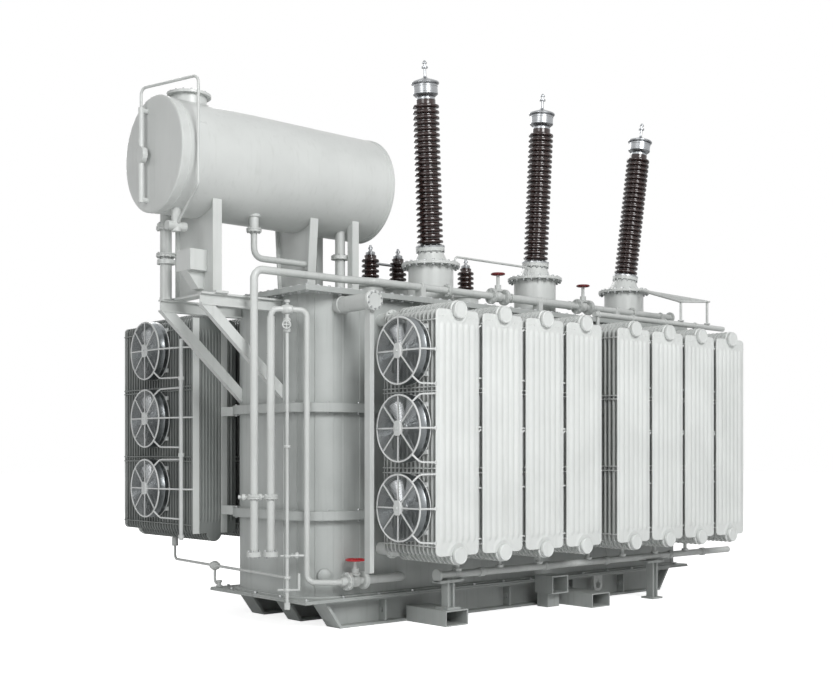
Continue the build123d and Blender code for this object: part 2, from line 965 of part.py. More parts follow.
def return_pipe():
    """The pipe that rises beside the riser, crosses over and drops to the run along the base."""
    corner = downpipe_place[0] + downpipe_place[1] - run_line
    route = [
        (*return_place, riser_foot),
        (*return_place, return_level),
        (*downpipe_place, return_level),
        (*downpipe_place, run_height),
        (corner, run_line, run_height),
        (drain_valve_place - valve_half_length, run_line, run_height),
    ]
    pipe = bent_pipe(route, downpipe_bend, downpipe_radius)
    upright = rod((*return_place, riser_foot), (*return_place, return_level - downpipe_bend), return_radius)
    end = (drain_valve_place - valve_half_length, run_line, run_height)
    upright += rod((corner + downpipe_bend, run_line, run_height), end, run_radius)
    foot = (*return_place, riser_foot - pipe_flange_thickness)
    return pipe + upright + disc(foot, (0, 0, 1), pipe_flange_radius, 2 * pipe_flange_thickness)


def base_run():
    """The run along the base from the drain valve into the tank wall."""
    route = [
        (drain_valve_place + valve_half_length, run_line, run_height),
        (run_end, run_line, run_height),
        (run_end, front_wall, run_height),
    ]
    return bent_pipe(route, front_wall - run_line - run_radius, run_radius)


def sampling_place():
    """Where the sampling pipe hangs, on the crossing between the return pipe and the downpipe."""
    return [a + sampling_share * (b - a) for a, b in zip(return_place, downpipe_place)]


def drain_line():
    """A thin pipe from a cock under the rear bank, past the end of the tank, to the sampling pipe."""
    x, y = sampling_place()
    far = rear_bank_start + radiator_width / 2
    cock_top = rear_bank_bottom - header_hump - seat_gap
    route = [
        (x, y, drain_line_height),
        (far, drain_line_reach, drain_line_height),
        (far, drain_line_reach, cock_top),
    ]
    line = bent_pipe(route, drain_line_bend, drain_line_radius)
    line -= rod((x, y, 0), (x, y, return_level), sampling_radius + seat_gap)
    return line + disc((far, drain_line_reach, cock_top), (0, 0, -1), drain_cock_radius, drain_cock_length)


def sampling_pipe():
    """A thin pipe that hangs from the crossing and ends beside the base plate."""
    x, y = sampling_place()
    top = return_level - downpipe_radius - seat_gap
    pipe = rod((x, y, sampling_foot), (x, y, top), sampling_radius)
    for level in (sampling_foot, top - 2 * sampling_plug_length):
        pipe += disc((x, y, level), (0, 0, 1), sampling_plug_radius, sampling_plug_length)
    return pipe


def relief_vent():
    """A wide stub from the tank with a blank cap, and a flat duct that leads down from it."""
    tip = (relief_place, -relief_reach, relief_level)
    stub = rod((relief_place, 0, relief_level), tip, relief_radius)
    stub -= extrude(tank_plan(0), amount=cover_top)
    stub += disc(tip, (0, -1, 0), relief_cap_radius, relief_cap_thickness)
    half = relief_duct_width / 2
    near = -relief_reach + relief_duct_setback
    duct = block(
        (relief_place - half, relief_place + half),
        (near, near + relief_duct_depth),
        (relief_duct_foot, relief_level),
    )
    return stub + duct


def turret_vent():
    """A thin pipe between the tops of the first two turrets."""
    line = hv_line - vent_line_offset
    seat = cover_top + turret_height + turret_flange_thickness
    first = hv_row_centre - hv_spacing + vent_line_start
    second = hv_row_centre - vent_line_start
    top = seat + vent_line_rise
    route = [(first, line, seat), (first, line, top), (second, line, top), (second, line, seat)]
    return bent_pipe(route, vent_line_bend, vent_line_radius)


def cover_frame():
    """A pipe over the far front radiators on stubs from their headers, with two posts and stays to the last turret."""
    line = front_wall - front_bank_gap - frame_pipe_bay * fin_pitch - fin_thickness / 2
    header = front_bank_bottom + fin_height
    level = header + frame_pipe_rise
    places = [place + radiator_width / 2 for place in bank_places(front_bank_start)[1]]
    start = (places[0] - frame_pipe_overhang, line, level)
    frame = rod(start, (frame_pipe_end, line, level), frame_pipe_radius)
    for x in places:
        stub = rod((x, line, header), (x, line, level), frame_stub_radius)
        frame += stub - rod((x, 0, header), (x, 2 * line, header), header_radius + seat_gap)
    turret = Vector(hv_row_centre + hv_spacing, hv_line, cover_top + turret_height)
    for x, rise in frame_posts:
        head = Vector(x, line, level + rise)
        frame += rod((x, line, level), head, frame_post_radius)
        away = Vector(x, line, turret.Z) - turret
        end = turret + away.normalized() * (turret_flange_radius + frame_stay_clearance)
        frame += rod(head, end, frame_post_radius)
    return frame


# Valves and their handwheels
def gate_valve(place, line, level, wheel_rise):
    """A flanged valve body with its bonnet and the stem that the wheel turns on."""
    start = (place - valve_half_length, line, level)
    end = (place + valve_half_length, line, level)
    body = rod(start, end, bonnet_radius) + Pos(place, line, level) * Sphere(valve_body_radius)
    body += disc(start, (1, 0, 0), valve_flange_radius, valve_flange_thickness)
    body += disc(end, (-1, 0, 0), valve_flange_radius, valve_flange_thickness)
    seat = level + wheel_rise - wheel_hub_height / 2 - running_gap
    body += rod((place, line, level), (place, line, level + wheel_rise / 2), bonnet_radius)
    body += rod((place, line, level), (place, line, seat), stem_shoulder_radius)
    return body + rod((place, line, level), (place, line, seat + wheel_hub_height), stem_radius)


def handwheel(place, line, level, wheel_rise, radius):
    """A round rim on spokes, bored to turn on the stem."""
    ring = radius - wheel_rim_radius
    wheel = Torus(ring, wheel_rim_radius)
    wheel += Cylinder(wheel_hub_radius, wheel_hub_height)
    for turn in range(wheel_spokes):
        spoke = Pos(ring / 2, 0, 0) * Box(ring, wheel_spoke_width, wheel_spoke_height)
        wheel += Rot(0, 0, turn * 360 / wheel_spokes) * spoke
    wheel -= Cylinder(stem_radius + running_gap, 2 * wheel_hub_height)
    return Pos(place, line, level + wheel_rise) * wheel


# High-voltage turrets and bushings
def hv_places():
    """The middle of each turret along the tank, with the lean of its bushing along X."""
    return [(hv_row_centre + step * hv_spacing, step * hv_fan_angle) for step in (-1, 0, 1)]


def hv_plane(place, tilt):
    """The leaning plane on which a bushing's porcelain stands."""
    lean = Vector(tan(radians(tilt)), -tan(radians(hv_lean)), 1).normalized()
    foot = Vector(place, hv_line, cover_top + turret_height + turret_flange_thickness)
    return Plane(origin=foot + lean * neck_height, x_dir=(1, 0, 0), z_dir=lean)


def hv_turret(place, tilt):
    """A turret barrel with a bolted flange and a leaning neck for the bushing."""
    foot = (place, hv_line, cover_top)
    seat = (place, hv_line, cover_top + turret_height)
    turret = disc(foot, (0, 0, 1), turret_radius, turret_height)
    turret += disc(foot, (0, 0, 1), turret_flange_radius, turret_flange_thickness)
    turret += disc(seat, (0, 0, 1), turret_flange_radius, turret_flange_thickness)
    under = neck_height + turret_flange_thickness / 2
    profile = [
        (0, -under),
        (neck_foot_radius, -under),
        (neck_top_radius, -neck_ring_thickness),
        (neck_ring_radius, -neck_ring_thickness),
        (neck_ring_radius, 0),
        (0, 0),
    ]
    return turret + turned(profile, hv_plane(place, tilt))


def shed_stack(core, shed, pitch, count, end, plane):
    """A porcelain body with a row of thin-edged sheds."""
    profile = [(0, 0), (core, 0)]
    for place in range(count):
        floor = end + place * pitch
        profile += [
            (core, floor + shed_root_share * pitch),
            (shed, floor + shed_tip_share * pitch),
            (shed, floor + shed_rim_share * pitch),
            (core, floor + shed_back_share * pitch),
        ]
    top = 2 * end + count * pitch
    profile += [(core, top), (0, top)]
    return turned(profile, plane)


def hv_insulator(place, tilt):
    """The brown porcelain of a high-voltage bushing."""
    return shed_stack(
        hv_core_radius, hv_shed_radius, hv_shed_pitch, hv_shed_count, hv_end_length, hv_plane(place, tilt)
    )


def hv_terminal(place, tilt):
    """The metal head of a high-voltage bushing with its terminal stud."""
    floor = 2 * hv_end_length + hv_shed_count * hv_shed_pitch
    top = floor + hv_cap_height
    profile = [
        (0, floor),
        (hv_cap_radius, floor),
        (hv_cap_radius, top - hv_cap_shoulder),
        (hv_cap_radius - hv_cap_shoulder, top),
        (hv_stud_radius, top),
        (hv_stud_radius, top + hv_stud_length),
        (0, top + hv_stud_length),
    ]
    return turned(profile, hv_plane(place, tilt))


# Low-voltage bushings
def lv_plane(place):
    """The plane on which a low-voltage porcelain stands."""
    return Plane(origin=(place, lv_line, cover_top + lv_base_height))


def lv_bases():
    """Flanged sockets on the cover under the low-voltage bushings."""
    bases = []
    for place in lv_places:
        foot = (place, lv_line, cover_top)
        seat = (place, lv_line, cover_top + lv_base_height - lv_base_flange_thickness)
        base = disc(foot, (0, 0, 1), lv_base_radius, lv_base_height)
        base += disc(seat, (0, 0, 1), lv_base_flange_radius, lv_base_flange_thickness)
        bases.append(base)
    return group(bases)


def lv_insulators():
    """The brown porcelain of the low-voltage bushings."""
    return group(
        shed_stack(lv_core_radius, lv_shed_radius, lv_shed_pitch, lv_shed_count, lv_end_length, lv_plane(place))
        for place in lv_places
    )


def lv_terminals():
    """Caps and studs of the low-voltage bushings."""
    floor = 2 * lv_end_length + lv_shed_count * lv_shed_pitch
    top = floor + lv_cap_height
    profile = [
        (0, floor),
        (lv_cap_radius, floor),
        (lv_cap_radius, top),
        (lv_stud_radius, top),
        (lv_stud_radius, top + lv_stud_length),
        (0, top + lv_stud_length),
    ]
    return group(turned(profile, lv_plane(place)) for place in lv_places)


nodes = {
    "skid_runners": skid_runners(),
    "outrigger_boxes": outrigger_boxes(),
    "jacking_boxes": jacking_boxes(),
    "towing_eyes": towing_eyes(),
    "support_rails": support_rails(),
    "rail_legs": rail_legs(),
    "base_plate": base_plate(),
    "tank_shell": tank_shell(),
    "tank_belts": tank_belts(),
    "tank_cover": tank_cover(),
    "rear_bank_posts": rear_bank_posts(),
    "rear_bank_stays": rear_bank_stays(),
    "conservator_shell": conservator_shell(),
    "conservator_ends": conservator_ends(),
    "conservator_saddle": conservator_saddle(),
    "conservator_inner_saddle": conservator_inner_saddle(),
    "conservator_posts": conservator_posts(),
    "conservator_manhole": conservator_manhole(),
    "bracket_beams": bracket_beams(),
    "bracket_braces": bracket_braces(),
    "oil_gauge": oil_gauge(),
    "gauge_vent": gauge_vent(),
    "breather": breather(),
    "relay_box": relay_box(),
    "drain_elbow": drain_elbow(),
    "feed_pipe": feed_pipe(),
    "riser_pipe": riser_pipe(),
    "cover_pipe": cover_pipe(),
    "cover_feet": cover_feet(),
    "return_pipe": return_pipe(),
    "base_run": base_run(),
    "sampling_pipe": sampling_pipe(),
    "drain_line": drain_line(),
    "relief_vent": relief_vent(),
    "turret_vent": turret_vent(),
    "cover_frame": cover_frame(),
    "lv_bases": lv_bases(),
    "lv_insulators": lv_insulators(),
    "lv_terminals": lv_terminals(),
}
nodes.update(radiator_groups())

for bank, (start, line, levels) in fan_centres().items():
    planes = [fan_plane(start, line, level) for level in levels]
    nodes[f"{bank}_fan_shrouds"] = group(fan_shroud(plane) for plane in planes)
    for number, plane in enumerate(planes, 1):
        nodes[f"{bank}_fan_rotor_{number}"] = fan_rotor(plane)

drain_valve = (drain_valve_place, run_line, run_height, drain_wheel_rise)
cover_valves = [(place, cover_pipe_line, cover_pipe_level, cover_wheel_rise) for place in cover_valve_places]
nodes["valve_bodies"] = group(gate_valve(*valve) for valve in [drain_valve, *cover_valves])
nodes["drain_handwheel"] = handwheel(*drain_valve, drain_wheel_radius)
for number, valve in enumerate(cover_valves, 1):
    nodes[f"cover_handwheel_{number}"] = handwheel(*valve, cover_wheel_radius)

nodes["hv_turrets"] = group(hv_turret(*place) for place in hv_places())
nodes["hv_insulators"] = group(hv_insulator(*place) for place in hv_places())
nodes["hv_terminals"] = group(hv_terminal(*place) for place in hv_places())

os.makedirs("parts", exist_ok=True)
for name, shape in nodes.items():
    export_step(shape, f"parts/{name}.step")
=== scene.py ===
import bpy
import numpy as np
from mathutils import Matrix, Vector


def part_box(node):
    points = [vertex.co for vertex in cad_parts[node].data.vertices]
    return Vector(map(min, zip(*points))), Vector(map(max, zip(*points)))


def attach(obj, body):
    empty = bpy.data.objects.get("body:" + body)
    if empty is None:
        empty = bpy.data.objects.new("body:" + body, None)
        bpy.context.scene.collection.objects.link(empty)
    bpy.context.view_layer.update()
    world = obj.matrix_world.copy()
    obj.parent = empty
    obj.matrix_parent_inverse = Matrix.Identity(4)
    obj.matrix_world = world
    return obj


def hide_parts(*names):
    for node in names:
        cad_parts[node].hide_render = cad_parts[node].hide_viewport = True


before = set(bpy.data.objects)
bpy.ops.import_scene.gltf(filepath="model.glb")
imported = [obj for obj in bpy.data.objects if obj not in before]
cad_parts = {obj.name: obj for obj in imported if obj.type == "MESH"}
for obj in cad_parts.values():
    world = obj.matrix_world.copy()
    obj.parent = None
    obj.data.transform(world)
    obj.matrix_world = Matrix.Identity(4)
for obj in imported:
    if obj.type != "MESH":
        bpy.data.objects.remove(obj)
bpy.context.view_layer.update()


# Skid base: three runners of welded plate under one thick base plate, with outrigger boxes and jacking
# boxes across it, towing eyes, and legs that carry the drain pipes under the radiators. Cut from plate,
# welded, blasted and painted.
def linear(code):
    """An sRGB hex colour as linear RGBA: c / 12.92 for a channel c up to 0.04045, and
    ((c + 0.055) / 1.055) ** 2.4 above it."""
    srgb = np.array([int(code[place : place + 2], 16) for place in (1, 3, 5)]) / 255
    low = srgb / 12.92
    high = ((srgb + 0.055) / 1.055) ** 2.4
    return (*np.where(srgb <= 0.04045, low, high).tolist(), 1.0)


def add(tree, kind, sockets=None, **settings):
    """Adds one node with its settings; each named socket takes a value or a link from another node."""
    node = tree.nodes.new("ShaderNode" + kind)
    for name, value in settings.items():
        setattr(node, name, value)
    for name, value in (sockets or {}).items():
        if isinstance(value, bpy.types.NodeSocket):
            tree.links.new(value, node.inputs[name])
        else:
            node.inputs[name].default_value = value
    return node


def finish_of(name, metallic, ior=None):
    """A new material, its node tree and shader, and the Object coordinates that its patterns read; metals
    keep the default IOR."""
    material = bpy.data.materials.new(name)
    material.use_nodes = True
    tree = material.node_tree
    shader = tree.nodes["Principled BSDF"]
    shader.inputs["Metallic"].default_value = metallic
    if ior:
        shader.inputs["IOR"].default_value = ior
    return material, tree, shader, add(tree, "TexCoord").outputs["Object"]


def noise(tree, place, size, detail=2.0):
    """Noise from 0 to 1 whose lumps are about the given size in metres."""
    return add(tree, "TexNoise", {"Vector": place, "Scale": 1 / size, "Detail": detail}).outputs["Fac"]


def ranged(tree, value, low, high, start=0.0, end=1.0):
    """A value carried in a straight line from start..end to low..high, and held beyond the ends."""
    spans = {"From Min": start, "From Max": end, "To Min": low, "To Max": high}
    return add(tree, "MapRange", {"Value": value, **spans}).outputs["Result"]


def blend(tree, share, first, second):
    """A mix of two colours, each a hex code or another node's output: (1 - share) first + share second."""
    pair = [linear(colour) if isinstance(colour, str) else colour for colour in (first, second)]
    return add(tree, "MixRGB", {"Fac": share, "Color1": pair[0], "Color2": pair[1]}).outputs["Color"]


def sprayed_enamel(name, paint, shade, grime, rough):
    """Alkyd enamel sprayed on steel: satin, with a slow drift of tone over half a metre, rain streaks 40 mm
    wide and 0.9 m long, dust on the faces that look up, and orange peel in the gloss, drawn at 12 mm so
    that it shows."""
    material, tree, shader, place = finish_of(name, 0.0, 1.5)
    drift = noise(tree, place, 0.5, 4.0)
    tone = ranged(tree, drift, 0.0, 1.0, 0.35, 0.65)
    coat = blend(tree, tone, paint, shade)
    streak_scale = (1 / 0.04, 1 / 0.04, 1 / 0.9)
    drawn = add(tree, "Mapping", {"Vector": place, "Scale": streak_scale}).outputs["Vector"]
    wash = ranged(tree, noise(tree, drawn, 1.0), 0.0, 0.3, 0.55, 0.8)
    streaked = blend(tree, wash, coat, grime)
    normal = add(tree, "NewGeometry").outputs["Normal"]
    upward = add(tree, "SeparateXYZ", {"Vector": normal}).outputs["Z"]
    settled = ranged(tree, upward, 0.0, 0.25, 0.7, 1.0)
    tree.links.new(blend(tree, settled, streaked, grime), shader.inputs["Base Color"])
    gloss = ranged(tree, drift, rough - 0.08, rough + 0.1)
    tree.links.new(gloss, shader.inputs["Roughness"])
    peel = noise(tree, place, 0.012, 1.0)
    relief = add(tree, "Bump", {"Height": peel, "Strength": 0.12, "Distance": 0.0006}).outputs["Normal"]
    tree.links.new(relief, shader.inputs["Normal"])
    return material


def dress(material, *nodes):
    """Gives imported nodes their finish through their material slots."""
    for node in nodes:
        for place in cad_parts[node].material_slots:
            place.material = material


def across(axis):
    """Two unit directions u, w square to an axis n, so that u x w = n, and n itself."""
    n = np.array(axis, float) / np.linalg.norm(axis)
    w = np.cross(n, (0, 0, 1) if abs(n[2]) < 0.9 else (1, 0, 0))
    w /= np.linalg.norm(w)
    return np.cross(w, n), w, n


def sheet(points, wrap_u=False, wrap_v=False):
    """A grid of points (u, v, 3) joined by four-sided faces whose outer side is du x dv; wrap closes a
    direction."""
    index = np.arange(points.shape[0] * points.shape[1]).reshape(points.shape[:2])
    rows = np.vstack([index, index[:1]]) if wrap_u else index
    rows = np.hstack([rows, rows[:, :1]]) if wrap_v else rows
    quads = np.stack([rows[:-1, :-1], rows[1:, :-1], rows[1:, 1:], rows[:-1, 1:]], -1)
    return points.reshape(-1, 3), [quads.reshape(-1, 4)]


def ends(points):
    """The grid closed round u, with one flat face over each end of v."""
    index = np.arange(points.shape[0] * points.shape[1]).reshape(points.shape[:2])
    verts, faces = sheet(points, wrap_u=True)
    return verts, faces + [index[None, ::-1, 0], index[None, :, -1]]


def revolved(profile, sides, foot, axis):
    """The grid of a profile of (radius r, height h) turned about an axis:
    foot + r (cos a u + sin a w) + h n."""
    r, h = np.array(profile, float).T
    u, w, n = across(axis)
    a = np.linspace(0, 2 * np.pi, sides, endpoint=False)[:, None, None]
    return np.array(foot) + (np.cos(a) * u + np.sin(a) * w) * r[:, None] + n * h[:, None]


def turned(profile, sides=28, foot=(0, 0, 0), axis=(0, 0, 1)):
    """A profile of (radius, height) turned about an axis, with a flat face over each end."""
    return ends(revolved(profile, sides, foot, axis))


def copies(surface, places):
    """The same surface at each place: every point plus every offset."""
    verts, faces = surface
    places = np.array(places, float).reshape(-1, 3)
    step = np.arange(len(places))[:, None, None] * len(verts)
    many = (places[:, None] + verts).reshape(-1, 3)
    return many, [(face + step).reshape(-1, face.shape[1]) for face in faces]


def joined(*surfaces):
    """Several surfaces as one."""
    sizes = [len(verts) for verts, faces in surfaces]
    starts = np.cumsum([0] + sizes[:-1])
    groups = [face + start for (verts, faces), start in zip(surfaces, starts) for face in faces]
    return np.concatenate([verts for verts, faces in surfaces]), groups


def ring_of(centre, axis, radius, count):
    """Places of a bolt circle: centre + radius (cos a u + sin a w)."""
    u, w, n = across(axis)
    a = (np.arange(count) / count * 2 * np.pi)[:, None]
    return np.array(centre) + radius * (np.cos(a) * u + np.sin(a) * w)


def hex_heads(places, axis, size, height):
    """Hexagon heads with a chamfered top, on the given places."""
    return copies(turned([(size, 0), (size, 0.7 * height), (0.8 * size, height)], 6, axis=axis), places)


def put(name, surface, material, body="transformer", replaces=(), sharp=35):
    """Makes a surface in millimetres a piece in metres that rides on a body; edges over the sharp angle
    stay sharp."""
    verts, faces = surface
    mesh = bpy.data.meshes.new(name)
    mesh.from_pydata((verts / 1000).tolist(), [], [corner for face in faces for corner in face.tolist()])
    mesh.shade_smooth()
    mesh.set_sharp_from_angle(angle=np.radians(sharp))
    mesh.materials.append(material)
    piece = bpy.data.objects.new(name, mesh)
    bpy.context.scene.collection.objects.link(piece)
    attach(piece, body)
    if replaces:
        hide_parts(*replaces)


base_enamel = sprayed_enamel("base_grey_enamel", "#B2B6B4", "#A6AAA8", "#83857F", 0.45)
dress(
    base_enamel,
    "skid_runners",
    "base_plate",
    "outrigger_boxes",
    "jacking_boxes",
    "rail_legs",
)
rail_enamel = sprayed_enamel("rail_pale_enamel", "#CDD0CE", "#C3C6C4", "#9A9C98", 0.32)
dress(rail_enamel, "towing_eyes", "support_rails")


def flat_bar(outline, axis, foot, thickness, bevel=2.0):
    """An outline of (u, w) points, counter-clockwise in the plane square to an axis n, carried along n: the
    two rims draw in by the bevel towards the outline's middle."""
    u, w, n = across(axis)
    points = np.array(outline, float)
    middle = points.mean(0)
    drawn_in = middle + (points - middle) * (1 - bevel / np.abs(points - middle).max())
    layers = ((drawn_in, 0), (points, bevel), (points, thickness - bevel), (drawn_in, thickness))
    return ends(np.array(foot) + np.stack([flat @ np.stack([u, w]) + n * h for flat, h in layers], 1))


def superellipse(half_width, half_height, power, count):
    """A closed outline: the signs of (cos a, sin a) times their sizes to a power, times the half sizes."""
    a = np.linspace(0, 2 * np.pi, count, endpoint=False)
    turn = np.stack([np.cos(a), np.sin(a)], -1)
    return np.sign(turn) * np.abs(turn) ** power * (half_width, half_height)


def slotted_rib(width, height, slot, thickness, count=24):
    """A plate with a slot, in Y and Z: the outer loop a square-cornered superellipse and the inner one an
    ellipse, joined front to front, through the slot, and back to back."""
    outer = superellipse(width / 2, height / 2, 0.12, count)
    inner = superellipse(*slot, 1, count)
    layers = [(inner, -1), (outer, -1), (outer, 1), (inner, 1)]
    loops = [np.column_stack([np.full(count, side * thickness / 2), loop]) for loop, side in layers]
    return sheet(np.stack(loops, 1), wrap_u=True, wrap_v=True)


def hoop(centre, axis, radius, wire_radius, sides=44, around=11):
    """A ring of round wire: centre + (R + r cos b)(cos a u + sin a w) + r sin b n."""
    u, w, n = across(axis)
    a = np.linspace(0, 2 * np.pi, sides, endpoint=False)[:, None, None]
    b = np.linspace(0, 2 * np.pi, around, endpoint=False)[:, None]
    points = np.array(centre) + (np.cos(a) * u + np.sin(a) * w) * (radius + wire_radius * np.cos(b))
    return sheet(points + n * wire_radius * np.sin(b), wrap_u=True, wrap_v=True)


up = (0, 0, 1)
down = (0, 0, -1)
lengthwise = (1, 0, 0)
crosswise = (0, 1, 0)
runner_middle = 130
rail_line = 1273
rail_middle = 476
rib_places = [(x, y, runner_middle) for x in (-2405, -1560, -700, 300, 1180) for y in (-781, 621)]
ribs = copies(slotted_rib(96, 205, (16, 30), 22), rib_places)
stool = [(-150, 62), (-150, -62), (118, -62), (186, -22), (186, 22), (118, 62)]
stools = [flat_bar(stool, up, (x, y, 404), 26) for x in (-2000, 1128) for y in (-rail_line, rail_line)]
runner_low, runner_high = (np.array(corner) * 1000 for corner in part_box("skid_runners"))
runner_lines = (runner_low[1] + runner_high[1]) / 2 + np.array([-640, 0, 640])
runner_slant = np.array([-260, 0, -190]) / np.hypot(260, 190)
end_outline = [(-157, -106), (157, -106), (157, 106), (-157, 106)]
end_plates = []
for end, way in ((runner_low[0], -1), (runner_high[0], 1)):
    slant = runner_slant * (-way, 1, 1)
    for y in runner_lines:
        slant_middle = np.array([end - way * 95, y, runner_middle])
        end_plates.append(flat_bar(end_outline, slant, slant_middle - 11 * slant, 12))
put("skid_fittings", joined(ribs, *stools, *end_plates), base_enamel)
eye_rims = [hoop((671, y, 150), crosswise, radius, 9, 32) for y in (-868, 708) for radius in (48, 66)]
coupling = [
    (36, -34), (44, -32), (46, -26), (46, -10), (42, -6), (42, 6), (46, 10), (46, 26), (44, 32), (36, 34),
]
couplings = [
    turned(coupling, 24, (x, y, rail_middle), lengthwise)
    for x in (-1560, -620, 330, 1460, 2080)
    for y in (-rail_line, rail_line)
]
put("rail_couplings", joined(*eye_rims, *couplings), rail_enamel)


# Tank: a welded box of 12 mm plate, with wide rounded corners at its near end, two hollow belts and a
# bolted cover. The plates meet in vertical weld beads, and the foot stands on a thick plate with a doubled
# edge. Painted like the base, a little paler.
tank_corners = np.array([(2140, 580), (-2900, 240), (-2900, -400), (2140, -740)])
corner_radii = np.array([60, 400, 400, 60])


def around_tank(margin, steps=12):
    """The tank's plan moved out by a margin: four quarter circles about the corner centres, joined by the
    walls."""
    a = (np.arange(4)[:, None] + np.linspace(0, 1, steps)) * np.pi / 2
    radius = corner_radii[:, None, None] + margin
    return (tank_corners[:, None] + radius * np.stack([np.cos(a), np.sin(a)], -1)).reshape(-1, 2)


def around_plate(margin):
    """The corners of the base plate, rim and cover, which share one outline, moved out by a margin."""
    x = np.array([-3400, 2300]) + (-margin, margin)
    y = np.array([-900, 740]) + (-margin, margin)
    return np.array([(x[1], y[1]), (x[0], y[1]), (x[0], y[0]), (x[1], y[0])])


def spaced(path, pitch):
    """Points about every pitch along a closed path, by the length run along it."""
    path = np.vstack([path, path[:1]])
    run = np.concatenate([[0], np.cumsum(np.linalg.norm(np.diff(path, axis=0), axis=1))])
    stops = np.linspace(0, run[-1], int(run[-1] / pitch), endpoint=False)
    return np.column_stack([np.interp(stops, run, path[:, 0]), np.interp(stops, run, path[:, 1])])


def at_height(plan, z):
    """Plan points (x, y) set at one height z."""
    return np.column_stack([plan, np.full(len(plan), z)])


def band(profile, path):
    """A closed profile of (margin, height) carried round a path, which is a function of the margin."""
    rows = [at_height(path(margin), height) for margin, height in profile]
    return sheet(np.stack(rows, 1), wrap_u=True, wrap_v=True)


def wire(path, radius, side, sides=8):
    """A circle carried along a path p: p + radius (cos a u + sin a w), where w is the side direction made
    square to the path's tangent t, and u = w x t."""
    path = np.array(path, float)
    t = np.gradient(path, axis=0)
    t /= np.linalg.norm(t, axis=1)[:, None]
    w = np.array(side, float) - (t @ np.array(side, float))[:, None] * t
    w /= np.linalg.norm(w, axis=1)[:, None]
    u = np.cross(w, t)
    a = np.linspace(0, 2 * np.pi, sides, endpoint=False)[:, None, None]
    return ends(path + radius * (np.cos(a) * u + np.sin(a) * w))


def patterned(tree, shader, tone, light, dark, grain, smooth, dull):
    """Colour from light to dark by the tone, and roughness from smooth to dull by the grain."""
    tree.links.new(blend(tree, tone, light, dark), shader.inputs["Base Color"])
    tree.links.new(ranged(tree, grain, smooth, dull), shader.inputs["Roughness"])


tank_enamel = sprayed_enamel("tank_grey_enamel", "#B6BAB8", "#ABAFAD", "#878A86", 0.4)
dress(tank_enamel, "tank_shell", "tank_belts", "tank_cover")
plate_top = 292
cover_top = 3170
rim_under = 3120
plate_edge = band([(0, 264), (7, 266), (7, 274), (0, 276)], around_plate)
ledge = band([(0, plate_top), (40, plate_top), (40, 304), (36, 308), (0, 308)], around_tank)
corner_turns = np.radians([180, 205, 230, 255, 270])
corner_points = np.stack([np.cos(corner_turns), np.sin(corner_turns)], -1)
weld_feet = tank_corners[2] + corner_radii[2] * corner_points
straight_feet = np.array([(x, y) for x in (-2700, -1500, -300, 900, 2100) for y in (-800, 640)])
beads = [
    wire([(x, y, 306), (x, y, 3112)], 5, (1, 0.3, 0))
    for x, y in np.vstack([weld_feet, straight_feet]).tolist()
]
belt_beads = [
    band([(62, z - 1), (71, z - 1), (73, z), (71, z + 1), (62, z + 1)], around_tank)
    for z in (1016, 1100, 2023, 2107)
]
blank_cap = [(34, 0), (66, 4), (68, 12), (64, 26), (48, 38), (20, 44)]
blank = turned(blank_cap, 28, (-3085, -753, 500), (-0.47, -0.88, 0))
put("tank_seams", joined(plate_edge, ledge, blank, *beads, *belt_beads), tank_enamel)
bolt_zinc, tree, shader, place = finish_of("zinc_plated_bolts", 1.0)
# Zinc plate: a cool grey metal with a cloudy spangle of a few millimetres, duller in the hollows.
cloud = noise(tree, place, 0.006)
patterned(tree, shader, cloud, "#C6C8C8", "#9C9FA0", cloud, 0.3, 0.5)
bolt_line = around_plate(-45)
rim_places = spaced(bolt_line, 125)
foot_bolts = at_height(spaced(bolt_line, 420), plate_top)
belt_places = spaced(around_tank(36, 40), 330)
belt_bolts = np.concatenate([at_height(belt_places, z) for z in (1103, 2110)])
put(
    "tank_bolts",
    joined(
        hex_heads(at_height(rim_places, cover_top), up, 17, 16),
        hex_heads(at_height(rim_places, rim_under), down, 17, 18),
        hex_heads(foot_bolts, up, 16, 18),
        hex_heads(belt_bolts, up, 13, 12),
        hex_heads(belt_bolts - (0, 0, 90), down, 13, 18),
    ),
    bolt_zinc,
)


# Radiators: pressed steel fins welded on a top and a bottom header, sixteen in four groups. The outer fins
# show six soft flutes and an arch round each header, which ends in a blank cap and joins the tank through a
# flange. Dipped in pale enamel; the fins behind the outer ones are painted darker as painted shade between
# the fins, and the rear bank's fins darker still as painted shade on the far side.
radiator_width = 520
radiator_step = 570
fin_height = 2193
fin_corner = 45
fin_hump = 88
fin_pitch = 56


def fin_edge(hump_steps, corner_steps):
    """Rows (height z, half width) of a fin's lower end: the hump's quarter circle, then a corner's quarter
    circle."""
    hump_turn = np.linspace(-np.pi / 2, 0, hump_steps)
    corner_turn = np.linspace(0, np.pi / 2, corner_steps)
    z = np.concatenate([fin_hump * np.sin(hump_turn), fin_corner * (1 - np.cos(corner_turn))])
    half = np.concatenate(
        [fin_hump * np.cos(hump_turn), radiator_width / 2 - fin_corner + fin_corner * np.sin(corner_turn)]
    )
    return z, np.maximum(half, 0.5)


def plain_fin():
    """A flat fin 16 mm thick: its outline, up the right edge and down the left, at both faces."""
    z, half = fin_edge(4, 3)
    right = np.column_stack([np.concatenate([half, half[::-1]]), np.concatenate([z, fin_height - z[::-1]])])
    left = right[::-1] * (-1, 1)
    outline = np.concatenate([right, left])
    faces = [np.column_stack([outline[:, 0], np.full(len(outline), y), outline[:, 1]]) for y in (8, -8)]
    return ends(np.stack(faces, 1))


